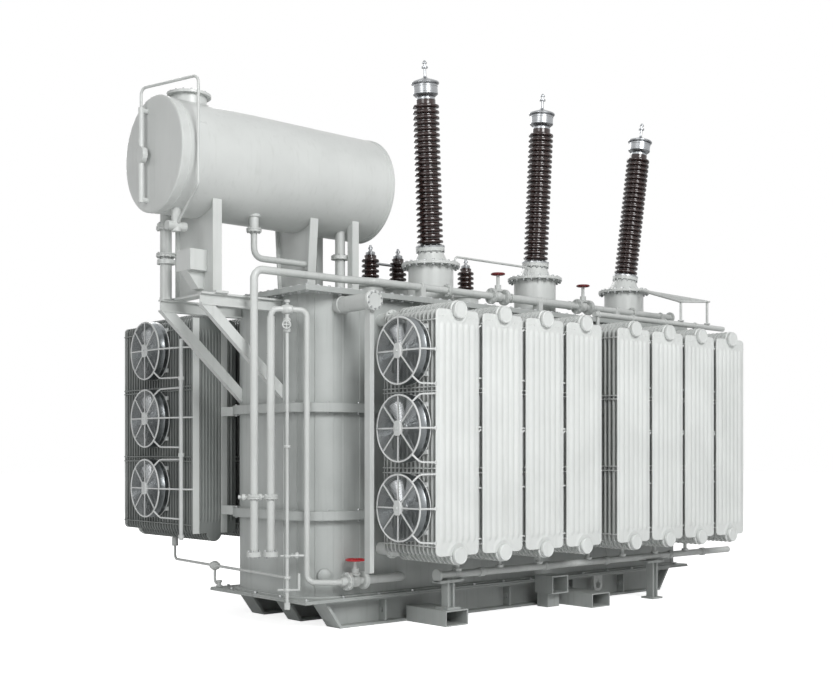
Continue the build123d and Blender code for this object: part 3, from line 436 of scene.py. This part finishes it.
def pressed_fin(side, depth, flute, arch_height):
    """The outer fin on rows of (z, half width). Its face stands out by 3 + 5 edge + depth f m +
    arch_height g edge, where edge rises from 0 to 1 over 10 mm from the rim, f is
    1 - cos(pi x / flute) ** 4, m is a smooth step over 55 mm from 100 + 25 cos(pi x / flute) ** 2 off
    either end, and the arch g is exp(-((r - 112) / 11) ** 2) of the distance r from a header's axis."""
    z, half = fin_edge(6, 5)
    rows = np.concatenate([z, np.arange(55, 180, 10), [260]])
    widths = np.concatenate([half, np.full(len(rows) - len(z), radiator_width / 2)])
    z = np.concatenate([rows, fin_height - rows[::-1]])
    half = np.concatenate([widths, widths[::-1]])
    columns = np.concatenate([[-1, -0.985], np.linspace(-0.96, 0.96, 4000 // flute), [0.985, 1]])[:, None]
    x = -side * columns * half
    off = np.minimum(z, fin_height - z)
    wave = np.cos(np.pi * x / flute)
    m = np.clip((off - 100 - 25 * wave**2) / 55, 0, 1)
    m = m**2 * (3 - 2 * m) * (np.abs(x) < 222)
    edge = np.clip((half - np.abs(x)) / 10, 0, 1)
    arch = np.exp(-(((np.hypot(x, off) - 112) / 11) ** 2))
    stand = 3 + 5 * edge + depth * (1 - wave**4) * m + arch_height * arch * edge
    face = np.stack([x, side * stand, np.broadcast_to(z, x.shape)], -1)
    rear = -side * np.array([1.0, 0.0, -1.0])[:, None] * half
    back = np.stack([rear, np.full(rear.shape, -side * 8.0), np.broadcast_to(z, rear.shape)], -1)
    return ends(np.concatenate([face, back]))


radiator_enamel = sprayed_enamel("radiator_pale_enamel", "#DEE1DF", "#D6D9D7", "#B6B9B5", 0.5)
dress(radiator_enamel, "rear_bank_posts", "rear_bank_stays")
# Painted shade: the fins behind the outer panels get a darker enamel that stands in for the shade between
# the fins, and the rear bank a darker one still that stands in for the shade on its side.
shaded_fin_enamels = {
    "front": sprayed_enamel("fin_dipped_enamel_painted_shade", "#CDD0CE", "#BCBFBD", "#7A7D7A", 0.45),
    "rear": sprayed_enamel("rear_fin_enamel_painted_shade", "#8F9391", "#828684", "#5E615F", 0.5),
}
rail_top = 512
tank_end = tank_corners[2][0]
stub_end = -2080
for bank, side, wall, gap, fin_count in (("front", -1, 800, 350, 14), ("rear", 1, 640, 265, 27)):
    outward = (0, side, 0)
    nose = gap + (fin_count - 1) * fin_pitch + 20
    middle = gap / 2
    joint = [
        (62, 0), (62, middle - 12), (86, middle - 12), (86, middle - 2), (81, middle - 1), (81, middle + 1),
        (86, middle + 2), (86, middle + 12), (62, middle + 12),
    ]
    cap = [
        (62, nose), (76, nose), (78, nose + 3), (78, nose + 32), (74, nose + 37), (66, nose + 38),
        (62, nose + 35), (6, nose + 34),
    ]
    for part in ("near", "far"):
        node = f"{bank}_radiators_{part}"
        low, high = (np.array(corner) * 1000 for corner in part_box(node))
        bottom = low[2] + 105
        headers = (bottom, bottom + fin_height)
        centres = low[0] + radiator_width / 2 + radiator_step * np.arange(4)
        lines = wall + gap + 6 + fin_pitch * np.arange(fin_count)
        outer = [(x, side * lines[-1], bottom) for x in centres]
        first = [(x, side * (lines[0] + 13), bottom) for x in centres]
        inner = [(x, side * y, bottom) for x in centres for y in lines[1:-1]]
        feet = [(x, side * wall, z) for x in centres if x > tank_end for z in headers]
        free = [(x, side * wall, z) for x in centres if x <= tank_end for z in headers]
        flange_bolts = np.concatenate(
            [ring_of(foot, outward, 74, 8) + (0, side * (middle + 12), 0) for foot in feet]
        )
        face = side * (lines[-1] + 7)
        steps = [step for step in np.linspace(-222, 222, 13) if abs(step) > 120]
        dots = [(x + step, face, bottom + fin_height - 62) for x in centres for step in steps]
        ties = [
            wire([(x, side * lines[0], bottom + rise), (x, side * lines[-1], bottom + rise)], 7, up, 6)
            for centre in centres
            for x in (centre - 263, centre + 263)
            for rise in (86, 735, 780, 1465, 1501, 2095)
        ]
        bridge_line = side * (lines[-1] - 24)
        bridges = [
            wire(
                [(x + 256, bridge_line, bottom + rise), (x + 314, bridge_line, bottom + rise + lift)],
                9, crosswise, 6,
            )
            for x in centres[:-1]
            for rise, lift in ((133, 0), (597, 0), (1085, 45), (1150, 0), (1597, 0), (2040, 40))
        ]
        drop = bottom - 60 - rail_top
        stub = [
            (36, -8), (40, 0), (40, 18), (20, 20),
            (20, drop - 28), (32, drop - 26), (34, drop - 6), (30, drop),
        ]
        stub_feet = [(x, side * rail_line, rail_top) for x in centres if x > stub_end]
        inner_fins = [copies(plain_fin(), inner), copies(pressed_fin(-side, 14, 37, 0), first), *ties]
        put(f"{node}_inner_fins", joined(*inner_fins), shaded_fin_enamels[bank], sharp=65)
        put(
            f"{node}_panels",
            joined(
                copies(pressed_fin(side, 12, 74, 7), outer),
                copies(turned([(58, gap + 24), (62, gap + 28), *cap], 32, axis=outward), free),
                copies(turned([*joint, *cap], 32, axis=outward), feet),
                copies(turned([(9, 0), (8, 4), (3, 6)], 8, axis=outward), dots),
                hex_heads(flange_bolts, outward, 10, 14),
                copies(turned(stub, 16), stub_feet),
                *bridges,
            ),
            radiator_enamel,
            replaces=(node,),
        )


# Cooling fans: rolled steel barrels in galvanised sleeves on the near face of each bank, with a spoked
# guard of welded wire rings, a motor behind a cast plate, six cast aluminium blades on a turned hub, and
# bent rods that brace the rings.
def tube(points, radius, bend, sides=12):
    """A round bar along straight runs; a corner b is eased by (1 - t)^2 a + 2 t (1 - t) b + t^2 c, where a
    and c lie on its two runs at the bend's length from it."""
    points = np.array(points, float)
    legs = np.diff(points, axis=0)
    legs /= np.linalg.norm(legs, axis=1)[:, None]
    t = np.linspace(0, 1, 7)[:, None]
    corners = [
        (1 - t) ** 2 * (b - bend * before) + 2 * t * (1 - t) * b + t**2 * (b + bend * after)
        for b, before, after in zip(points[1:-1], legs[:-1], legs[1:])
    ]
    return wire(np.concatenate([points[:1], *corners, points[-1:]]), radius, (0.42, 0.31, 0.85), sides)


def collar(profile, sides, foot, axis):
    """A closed profile of (radius, height) turned about an axis, with its bore left open."""
    return sheet(revolved(profile, sides, foot, axis), wrap_u=True, wrap_v=True)


def fan_blades(centre, count=6):
    """Blades of chord c from 74 to 156 and pitch p from 33 to 25 degrees:
    r e_r + s (cos p e_t + sin p e_a), bowed off the chord by 0.09 c (1 - (2 s / c) ** 2), with 3 mm to each
    side of the middle surface."""
    r = np.linspace(64, 275, 9)
    c = np.linspace(74, 156, 9)
    p = np.radians(np.linspace(33, 25, 9))
    k = np.cos(np.linspace(np.pi, 0, 11))[:, None]
    bow = 0.09 * c * (1 - k**2) - 6
    chordwise = k * c / 2 * np.cos(p)
    axial = k * c / 2 * np.sin(p)
    skin = 3 * np.sqrt(1 - 0.8 * k**2)
    tangent = np.concatenate([chordwise, chordwise[::-1]])
    lift = np.concatenate([axial + bow - skin, (axial + bow + skin)[::-1]])
    blades = []
    for turn in np.arange(count) / count * 2 * np.pi:
        out = np.array([0, np.cos(turn), -np.sin(turn)])
        spin = np.array([0, -np.sin(turn), -np.cos(turn)])
        points = r[:, None] * out + tangent[..., None] * spin + lift[..., None] * np.array([-1, 0, 0])
        blades.append(ends(np.array(centre) + points))
    return joined(*blades)


fan_enamel = sprayed_enamel("fan_white_enamel", "#D9DBDA", "#D0D3D2", "#A6A8A5", 0.35)
dress(fan_enamel, "front_fan_shrouds", "rear_fan_shrouds")
blade_aluminium, tree, shader, place = finish_of("cast_aluminium_blades", 1.0)
# Cast aluminium: bright and even, with a fine sand grain of about 4 mm in its gloss and slightly duller
# patches.
grain = noise(tree, place, 0.004)
patch = noise(tree, place, 0.08)
patterned(tree, shader, patch, "#D6D8D9", "#A9ACAE", grain, 0.2, 0.36)
wire_zinc, tree, shader, place = finish_of("galvanised_guard_wire", 1.0)
# Galvanised wire: grey metal that flashes where a ring faces a lamp, with spangle of about 8 mm in its
# gloss.
spangle = add(tree, "TexVoronoi", {"Vector": place, "Scale": 1 / 0.008}).outputs["Distance"]
patterned(tree, shader, spangle, "#989C9E", "#74787A", spangle, 0.24, 0.42)
nearward = (-1, 0, 0)
motor_plate = superellipse(68, 44, 0.5, 28)
barrel = [(306, -146), (306, -80), (309, -76), (306, -72), (306, -24), (299, -22), (299, -148)]
hub_profile = [(14, -26), (60, -26), (68, -20), (68, 18), (60, 24), (14, 24)]
rod_clamp = [(20, -20), (30, -18), (30, 18), (20, 20)]
for bank, near, line, levels, corner in (
    ("front", -2705, -1540, (1149, 1861, 2555), (-2711, -1888)),
    ("rear", -3510, 1639, (1271, 2002, 2714), (-3575, 1022)),
):
    rings = []
    rims = []
    rods = []
    guard = near - 146
    for level in levels:
        rings += [
            hoop((guard + 1, line, level), nearward, radius, 2.2, 48, 6) for radius in range(84, 292, 14)
        ]
        rims += [hoop((near - depth, line, level), nearward, 299, 9, 56) for depth in (26, 144)]
        rings.append(collar(barrel, 56, (near, line, level), lengthwise))
        rims.append(flat_bar(motor_plate, nearward, (guard, line, level), 16, 4))
        rims.append(hex_heads([(guard - 16, line, level)], nearward, 13, 10))
        rims.append(hex_heads([(near - 100, line - 306, level)], (0, -1, 0), 10, 12))
        rods.append(tube([(guard, line - 302, level), (*corner, level)], 9, 0))
        reaches = (-1,) if level == levels[-1] else (-1, 1)
        for reach in reaches:
            brace = [
                (guard, line - 195, level + reach * 234),
                (guard + 40, line - 250, level + reach * 300),
                (*corner, level + reach * 304),
            ]
            rods.append(tube(brace, 9, 30))
        rods += [hoop((*corner, level + rise), (0.2, -1, 0), 12, 7, 12) for rise in (-304, 0)]
    if bank == "rear":
        rods.append(tube([(*corner, 755), (*corner, 2800)], 20, 0, 14))
        rods += [tube([(*corner, level), (-3512, 899, level)], 9, 0) for level in levels]
        rods += [turned(rod_clamp, 14, (*corner, level)) for level in (790, 1620, 2400)]
    put(f"{bank}_fan_rims", joined(*rims), fan_enamel)
    put(f"{bank}_fan_guards", joined(*rings), wire_zinc, sharp=65)
    put(f"{bank}_fan_rods", joined(*rods), fan_enamel)
    for number, level in enumerate(levels, 1):
        centre = (near - 71, line, level)
        put(
            f"{bank}_fan_blades_{number}",
            joined(turned(hub_profile, 32, centre, nearward), fan_blades(centre)),
            blade_aluminium,
            body=f"{bank}_fan_{number}",
            replaces=(f"{bank}_fan_rotor_{number}",),
        )


# Conservator: a rolled steel drum with flat end covers in a crisp rim, on two saddles and a pair of posts,
# with a bolted manhole on top. The near saddle stands on two bracket beams that braces carry from the
# tank's end. Welded and painted.
drum_enamel = sprayed_enamel("drum_pale_enamel", "#D2D5D3", "#CBCECC", "#B9BCB8", 0.3)
dress(
    drum_enamel,
    "conservator_shell",
    "conservator_saddle",
    "conservator_inner_saddle",
    "conservator_posts",
    "conservator_manhole",
    "bracket_beams",
    "bracket_braces",
    "relay_box",
)
drum_near = (-4352, 0, 4340)
drum_far = (-2096, 0, 4340)
drum_radius = 520
near_cover = [
    (500, -6), (520, -4), (520, 52), (527, 55), (527, 84), (523, 89), (514, 92), (494, 93), (6, 93),
]
far_cover = [
    (500, -6), (520, -4), (520, 34), (527, 37), (527, 60), (519, 63), (500, 74), (420, 87), (240, 92),
    (6, 93),
]
covers = [turned(near_cover, 72, drum_near, nearward), turned(far_cover, 72, drum_far, lengthwise)]
put("drum_end_covers", joined(*covers), drum_enamel, replaces=("conservator_ends",))
seams = [hoop(centre, lengthwise, drum_radius, 4, 72) for centre in (drum_near, drum_far)]
put("drum_weld_beads", joined(*seams), drum_enamel)
lid_low, lid_high = (np.array(corner) * 1000 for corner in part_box("conservator_manhole"))
lid_middle = ((lid_low + lid_high) / 2)[:2]
lid_places = ring_of((*lid_middle, lid_high[2]), up, 185, 16)
put("manhole_bolts", hex_heads(lid_places, up, 11, 12), bolt_zinc)
neck_line = (-4115, 360)
feed_line = (-2442, -150)
flange_places = [
    *(ring_of((*neck_line, level), up, 68, 6) for level in (3460, 3800)),
    *(ring_of((*feed_line, level), up, 74, 8) for level in (3616, 3188)),
]
put("drum_pipe_bolts", hex_heads(np.concatenate(flange_places), up, 11, 12), bolt_zinc)


# Pipes: drawn steel tube with welded elbows and bolted flange joints, painted with the tank. They bring oil
# from the tank's foot and the drum to the cover, and drain the rear bank; a flat duct leads from the relief
# stub down to the base.
pipe_enamel = sprayed_enamel("pipe_grey_enamel", "#CDD0CE", "#C3C6C4", "#9A9C98", 0.3)
dress(
    pipe_enamel,
    "oil_gauge",
    "gauge_vent",
    "breather",
    "feed_pipe",
    "riser_pipe",
    "cover_pipe",
    "cover_feet",
    "return_pipe",
    "base_run",
    "sampling_pipe",
    "drain_line",
    "turret_vent",
    "cover_frame",
)
relief_x = -2945
relief_z = 3020
relief_stub = [
    (76, -560), (76, -6), (92, -4), (94, 0), (94, 16), (88, 20), (88, 24), (94, 28), (94, 36), (86, 40),
    (70, 41), (66, 38), (6, 37),
]
duct = [(-25, -38), (25, -38), (25, 38), (-25, 38)]
relief_pieces = [
    turned(relief_stub, 36, (relief_x, -1291, relief_z), (0, -1, 0)),
    flat_bar(duct, down, (-2940, -1242, relief_z), 2470, 4),
    hoop((relief_x, -860, relief_z), crosswise, 78, 7, 32),
]
put("relief_duct", joined(*relief_pieces), pipe_enamel, replaces=("relief_vent",))


def bolted_joint(centre, axis, radius, count):
    """Two flange plates of 14 mm on a gasket line, turned about the axis, with through bolts 14 mm in from
    the rim."""
    profile = [
        (0.5 * radius, -17), (radius - 2, -17), (radius, -15), (radius, -3), (radius - 5, -2),
        (radius - 5, 2), (radius, 3), (radius, 15), (radius - 2, 17), (0.5 * radius, 17),
    ]
    n = across(axis)[2]
    places = ring_of(centre, axis, radius - 14, count)
    return joined(
        turned(profile, 28, centre, axis),
        hex_heads(places + 17 * n, n, 9, 9),
        hex_heads(places - 17 * n, -n, 9, 9),
    )


elbow_line = (-3498, -200)
elbow_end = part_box("drain_elbow")[1][0] * 1000
elbow_run = (-200, 3480)
elbow_flange = [(30, 0), (56, 2), (58, 6), (58, 18), (30, 22)]
elbow = [
    turned([(46, 0), (46, 100), (58, 104), (60, 112), (60, 140)], 28, (*elbow_line, 3760)),
    bolted_joint((*elbow_line, 3740), up, 72, 8),
    tube([(*elbow_line, 3750), (elbow_line[0], *elbow_run), (elbow_end, *elbow_run)], 30, 110, 20),
    turned(elbow_flange, 24, (elbow_end - 24, *elbow_run), lengthwise),
]
put("drum_drain", joined(*elbow), pipe_enamel, replaces=("drain_elbow",))
tap = [
    (14, 40), (14, 76), (27, 78), (31, 86), (31, 104), (22, 112), (12, 114), (12, 126), (19, 127),
    (19, 142), (8, 144),
]
cross_valve = [
    (16, -66), (30, -64), (33, -44), (24, -22), (37, -10), (37, 10), (24, 22), (33, 44), (30, 64), (16, 66),
]
tee = [(24, -52), (36, -50), (38, -34), (46, -16), (48, 0), (46, 16), (38, 34), (36, 50), (24, 52)]
tee_plug = [(14, 30), (14, 62), (25, 64), (27, 70), (27, 84), (12, 90)]
clip = [(18, -14), (28, -13), (30, -9), (30, 9), (28, 13), (18, 14)]
drain_cock = [(30, -24), (32, -20), (32, -10), (20, -6), (20, 20), (28, 22), (28, 40), (14, 44)]
sleeve = [
    (36, 0), (47, 2), (50, 6), (50, 26), (44, 30), (44, 480), (50, 484), (50, 506), (44, 510), (44, 940),
    (50, 944), (50, 964), (47, 968), (36, 970),
]
frame_foot = [(15, 0), (34, 2), (36, 6), (36, 16), (15, 20)]
riser = (-3719, -540)
upright = (-3594, -624)
sample = (-3453, -682)
downpipe = (-3281, -752)
tee_level = 2954
joint_level = 1240
branch_level = 698
foot_level = 387
left = np.array([-0.755, 0.656, 0])
towards = np.array([-0.656, -0.755, 0])
cock = np.array([*sample, 2810])
wheel = cock + 56 * towards
branch = np.array([*sample, branch_level])
foot_run = np.array([*sample, foot_level])
rear_tee = (-3330, 775, 500)
rear_drain = (-3330, 690, 316)
cover_run = (-760, 3290)
frame_line = -1408
frame_near = 1484
frame_far = 1988
fittings = [
    bolted_joint((*riser, joint_level), up, 62, 8),
    bolted_joint((*upright, joint_level), up, 62, 8),
    turned(tap, 16, (*riser, joint_level), left),
    turned(tap, 16, (*upright, joint_level), left),
    turned(tap, 16, (*downpipe, branch_level), left),
    turned(cross_valve, 18, cock),
    turned(tee, 20, (*sample, tee_level), left),
    turned(tee_plug, 16, (*sample, tee_level)),
    hoop(wheel, towards, 36, 7, 20),
    tube([cock, cock + 60 * towards], 9, 0),
    tube([wheel - 36 * left, wheel + 36 * left], 6, 0),
    tube([wheel - (0, 0, 36), wheel + (0, 0, 36)], 6, 0),
    tube([branch + 62 * left, (*downpipe, branch_level)], 11, 0),
    tube([foot_run + 86 * left, foot_run - 120 * left], 10, 0),
    tube([foot_run - 108 * left, np.array([*sample, 540]) - 108 * left], 13, 0),
    *(turned(clip, 16, (*sample, level)) for level in (branch_level, 500, foot_level, 1700)),
    turned(tee, 18, rear_tee, crosswise),
    tube([rear_tee, (-3330, 775, 330), rear_drain], 13, 40),
    turned(drain_cock, 16, rear_drain),
    *(bolted_joint((*neck_line, level), up, 92, 8) for level in (3505, 3760)),
    turned(sleeve, 24, (-640, *cover_run), lengthwise),
    *(bolted_joint((x, *cover_run), lengthwise, 66, 8) for x in (-1540, 1420)),
    *(hoop((x, *cover_run), lengthwise, 42, 8, 24) for x in (-1900, -200, 1100, 1950)),
    *(hoop((x, frame_line, 3110), lengthwise, 33, 8, 20) for x in (35, 605, 1175, 1745)),
    *(
        tube([(1640 + 34 * step, -730, 3570), (frame_near + 101 * step, frame_line, 3372 + 8 * step)], 9, 0)
        for step in range(1, 5)
    ),
    tube([(frame_near, frame_line, 3370), (frame_far, frame_line, 3410)], 13, 0),
    *(
        turned(frame_foot, 18, (x, frame_line, z))
        for x, z in ((frame_near, 3360), (frame_far, 3400), (frame_near, 3140), (frame_far, 3140))
    ),
]
put("pipe_fittings", joined(*fittings), pipe_enamel)
pipe_bolts = [
    *(hex_heads(ring_of((*foot, 742), up, 52, 8), up, 9, 12) for foot in (riser, upright)),
    *(hex_heads(ring_of((*foot, branch_level), up, 52, 8), down, 9, 16) for foot in (riser, upright)),
    hex_heads(ring_of((relief_x, -1331, relief_z), (0, -1, 0), 78, 10), (0, -1, 0), 10, 14),
]
put("pipe_bolts", joined(*pipe_bolts), bolt_zinc)


# Valves: cast gate valves, painted, with bolted flanges, a bolted bonnet and a spoked iron handwheel, one
# bright red at the drain and two dark red on the cover.
valve_enamel = sprayed_enamel("cast_valve_enamel", "#CFD2D0", "#BFC2C0", "#8E918D", 0.32)
dress(valve_enamel, "valve_bodies")
drain_red = sprayed_enamel("bright_red_enamel", "#C4212B", "#AE1B24", "#7D3531", 0.3)
dress(drain_red, "drain_handwheel")
cover_red = sprayed_enamel("dark_red_enamel", "#7E2A2B", "#6B2123", "#5A3431", 0.35)
dress(cover_red, "cover_handwheel_1", "cover_handwheel_2")
bonnet = [
    (30, 50), (48, 52), (50, 56), (50, 66), (44, 70), (30, 74), (28, 96), (34, 98), (34, 112), (22, 116),
    (19, 124),
]
valve_trim = []
for x, y, z in ((-2857, -930, 450), (-815, *cover_run), (540, *cover_run)):
    valve_trim += [bolted_joint((x + end * 96, y, z), lengthwise, 84, 8) for end in (-1, 1)]
    valve_trim.append(turned(bonnet, 24, (x, y, z)))
    valve_trim.append(hex_heads(ring_of((x, y, z + 66), up, 42, 6), up, 7, 12))
put("valve_trim", joined(*valve_trim), valve_enamel)


# Bushings: brown glazed porcelain with shallow, round-rimmed sheds between a leaning steel neck on a bolted
# turret and a turned aluminium head with its terminal stud; the low-voltage ones are short and stand on
# flanged sockets.
def shed_profile(core, shed, pitch, count, end):
    """A shed per pitch: a flat underside at 0.08 of it, a round rim up to 0.6, and a top that slopes back
    to the core."""
    steps = np.array(
        [
            (0.0, 0.02), (0.25, 0.07), (0.75, 0.09), (0.94, 0.15), (1.0, 0.27), (1.0, 0.4), (0.92, 0.53),
            (0.7, 0.6), (0.2, 0.66), (0.03, 0.78),
        ]
    )
    r = core + (shed - core) * np.tile(steps[:, 0], count)
    h = end + pitch * (np.repeat(np.arange(count), len(steps)) + np.tile(steps[:, 1], count))
    top = 2 * end + pitch * count
    return np.concatenate([[(core, 0.0)], np.column_stack([r, h]), [(core, top - end), (core, top)]])


porcelain, tree, shader, place = finish_of("brown_glazed_porcelain", 0.0, 1.52)
# Brown glaze: very dark and glossy, reddish where it runs thin, with clouding about 60 mm across.
cloud = noise(tree, place, 0.06, 3.0)
patterned(tree, shader, cloud, "#241614", "#35211D", cloud, 0.1, 0.24)
shader.inputs["Coat Weight"].default_value = 0.4
shader.inputs["Coat Roughness"].default_value = 0.06
turned_aluminium, tree, shader, place = finish_of("turned_aluminium_heads", 1.0)
# Turned aluminium: bright, with fine tool rings about 3 mm apart round the head, drawn coarse enough to
# show.
height = add(tree, "SeparateXYZ", {"Vector": place}).outputs["Z"]
tooling = {"W": height, "Scale": 1 / 0.003, "Detail": 1.0}
tool_rings = add(tree, "TexNoise", tooling, noise_dimensions="1D").outputs["Fac"]
patterned(tree, shader, tool_rings, "#B9BBBD", "#8F9295", tool_rings, 0.22, 0.4)
dress(drum_enamel, "hv_turrets", "lv_bases")
hv_line = -430
turret_top = 3603
head = [
    (84, 0), (98, 2), (98, 16), (88, 20), (88, 26), (100, 30), (124, 50), (130, 57), (130, 72), (127, 75),
    (127, 128), (130, 131), (130, 140), (118, 144), (118, 155), (141, 158), (145, 164), (145, 173),
    (137, 182), (90, 200), (48, 213), (24, 226), (17, 238), (15, 252), (15, 316), (34, 320), (34, 334),
    (17, 338), (16, 352), (16, 364), (25, 367), (25, 376), (11, 394), (4, 399),
]
foot_ring = [(152, -8), (152, 6), (120, 22), (96, 26), (96, 30), (84, 30)]
stacks = []
heads = []
bolts = []
for x, tilt in ((-1470, -5.5), (100, 0.0), (1670, 5.5)):
    lean = np.array([np.tan(np.radians(tilt)), -np.tan(np.radians(3.4)), 1])
    lean /= np.linalg.norm(lean)
    foot = np.array([x, hv_line, turret_top]) + lean * 180
    stacks.append(turned(shed_profile(102, 138, 57, 25, 30), 40, foot, lean))
    heads.append(turned(head, 40, foot + lean * 1485, lean))
    heads.append(turned(foot_ring, 40, foot, lean))
    bolts.append(hex_heads(ring_of((x, hv_line, turret_top), up, 272, 20), up, 17, 18))
    bolts.append(hex_heads(ring_of((x, hv_line, 3198), up, 272, 20), up, 17, 18))
    bolts.append(hex_heads(ring_of((x, hv_line, turret_top - 28), up, 284, 20), down, 15, 22))
    bolts.append(hex_heads(ring_of(foot - lean * 46, lean, 140, 14), -lean, 10, 20))
    bolts.append(hex_heads(ring_of(foot, lean, 138, 14), lean, 10, 14))
put("hv_porcelain", joined(*stacks), porcelain, replaces=("hv_insulators",))
put("hv_heads", joined(*heads), turned_aluminium, replaces=("hv_terminals",))
lv_head = [
    (40, 0), (50, 2), (52, 8), (52, 34), (44, 42), (26, 46), (24, 52), (16, 54), (16, 70), (26, 71),
    (26, 88), (18, 100), (14, 102), (14, 112), (9, 116),
]
lv_line = 430
lv_feet = [(x, lv_line, 3470) for x in (-1586, -1196, -806, -160)]
lv_stack = turned(shed_profile(66, 96, 56, 5, 20), 32)
put("lv_porcelain", copies(lv_stack, lv_feet), porcelain, replaces=("lv_insulators",))
put(
    "lv_heads",
    copies(turned(lv_head, 24), np.array(lv_feet) + (0, 0, 320)),
    turned_aluminium,
    replaces=("lv_terminals",),
)
bolts += [hex_heads(ring_of(foot, up, 166, 10), up, 11, 12) for foot in lv_feet]
lead_bar = tube([(-1586, lv_line, 3712), (-1196, lv_line, 3712)], 15, 0)
put("lv_lead_bar", lead_bar, turned_aluminium)
put("bushing_bolts", joined(*bolts), bolt_zinc)


# Stage: a pale studio floor that turns white to the camera and keeps a soft shadow, under large soft lamps
# in a white room. The key lamp stands to the front, the fill by the near end and the third behind.
def studio_lamp(name, place, target, size, power):
    """A square soft lamp at a place, turned towards a target."""
    lamp = bpy.data.lights.new(name, "AREA")
    lamp.size = size
    lamp.energy = power
    lamp_object = bpy.data.objects.new(name, lamp)
    bpy.context.scene.collection.objects.link(lamp_object)
    u, w, n = across(np.array(place) - np.array(target))
    lamp_object.matrix_world = Matrix(np.column_stack([w, -u, n, place]).tolist()).to_4x4()


half = 80.0
floor_corners = [(-half, -half, 0), (half, -half, 0), (half, half, 0), (-half, half, 0)]
floor_mesh = bpy.data.meshes.new("studio_floor")
floor_mesh.from_pydata(floor_corners, [], [(0, 1, 2, 3)])
floor_paper, tree, shader, place = finish_of("white_paper_floor", 0.0, 1.45)
# White paper: matt and almost even, lit up for the camera alone so that only the shadow shows on it.
mottle = noise(tree, place, 3.0)
tree.links.new(blend(tree, mottle, "#F2F2F2", "#EFEFEF"), shader.inputs["Base Color"])
shader.inputs["Roughness"].default_value = 0.9
seen = add(tree, "LightPath").outputs["Is Camera Ray"]
tree.links.new(seen, shader.inputs["Emission Strength"])
shader.inputs["Emission Color"].default_value = (0.8, 0.8, 0.8, 1)
floor_mesh.materials.append(floor_paper)
floor = bpy.data.objects.new("studio_floor", floor_mesh)
bpy.context.scene.collection.objects.link(floor)

studio_lamp("key_lamp", (-6.0, -17.5, 12.0), (-0.5, -0.5, 2.2), 8.0, 2650)
studio_lamp("fill_lamp", (-18.0, -5.0, 8.0), (-1.0, 0.0, 2.2), 7.0, 540)
studio_lamp("back_lamp", (2.0, 16.0, 12.0), (0.0, 0.0, 2.5), 9.0, 1000)

world = bpy.data.worlds.new("white_studio")
bpy.context.scene.world = world
world.use_nodes = True
tree = world.node_tree
rays = add(tree, "LightPath").outputs
direct = {0: rays["Is Camera Ray"], 1: rays["Is Glossy Ray"]}
bright = add(tree, "Math", direct, operation="MAXIMUM").outputs["Value"]
through = {0: bright, 1: rays["Is Transmission Ray"]}
clear = add(tree, "Math", through, operation="MAXIMUM").outputs["Value"]
strength = ranged(tree, clear, 0.21, 1.0)
tree.links.new(strength, tree.nodes["Background"].inputs["Strength"])
tree.nodes["Background"].inputs["Color"].default_value = (1, 1, 1, 1)

camera = bpy.data.cameras.new("photo_camera")
camera.lens = 50.996
camera.sensor_width = 36.0
camera.shift_y = 0.1297
camera.clip_end = 300
camera_object = bpy.data.objects.new("photo_camera", camera)
camera_object.location = (-9.6375, -9.6016, 1.640)
camera_object.rotation_euler = (np.pi / 2, 0, np.radians(-40.99))
bpy.context.scene.collection.objects.link(camera_object)
bpy.context.scene.camera = camera_object
bpy.context.scene.view_settings.view_transform = "Standard"
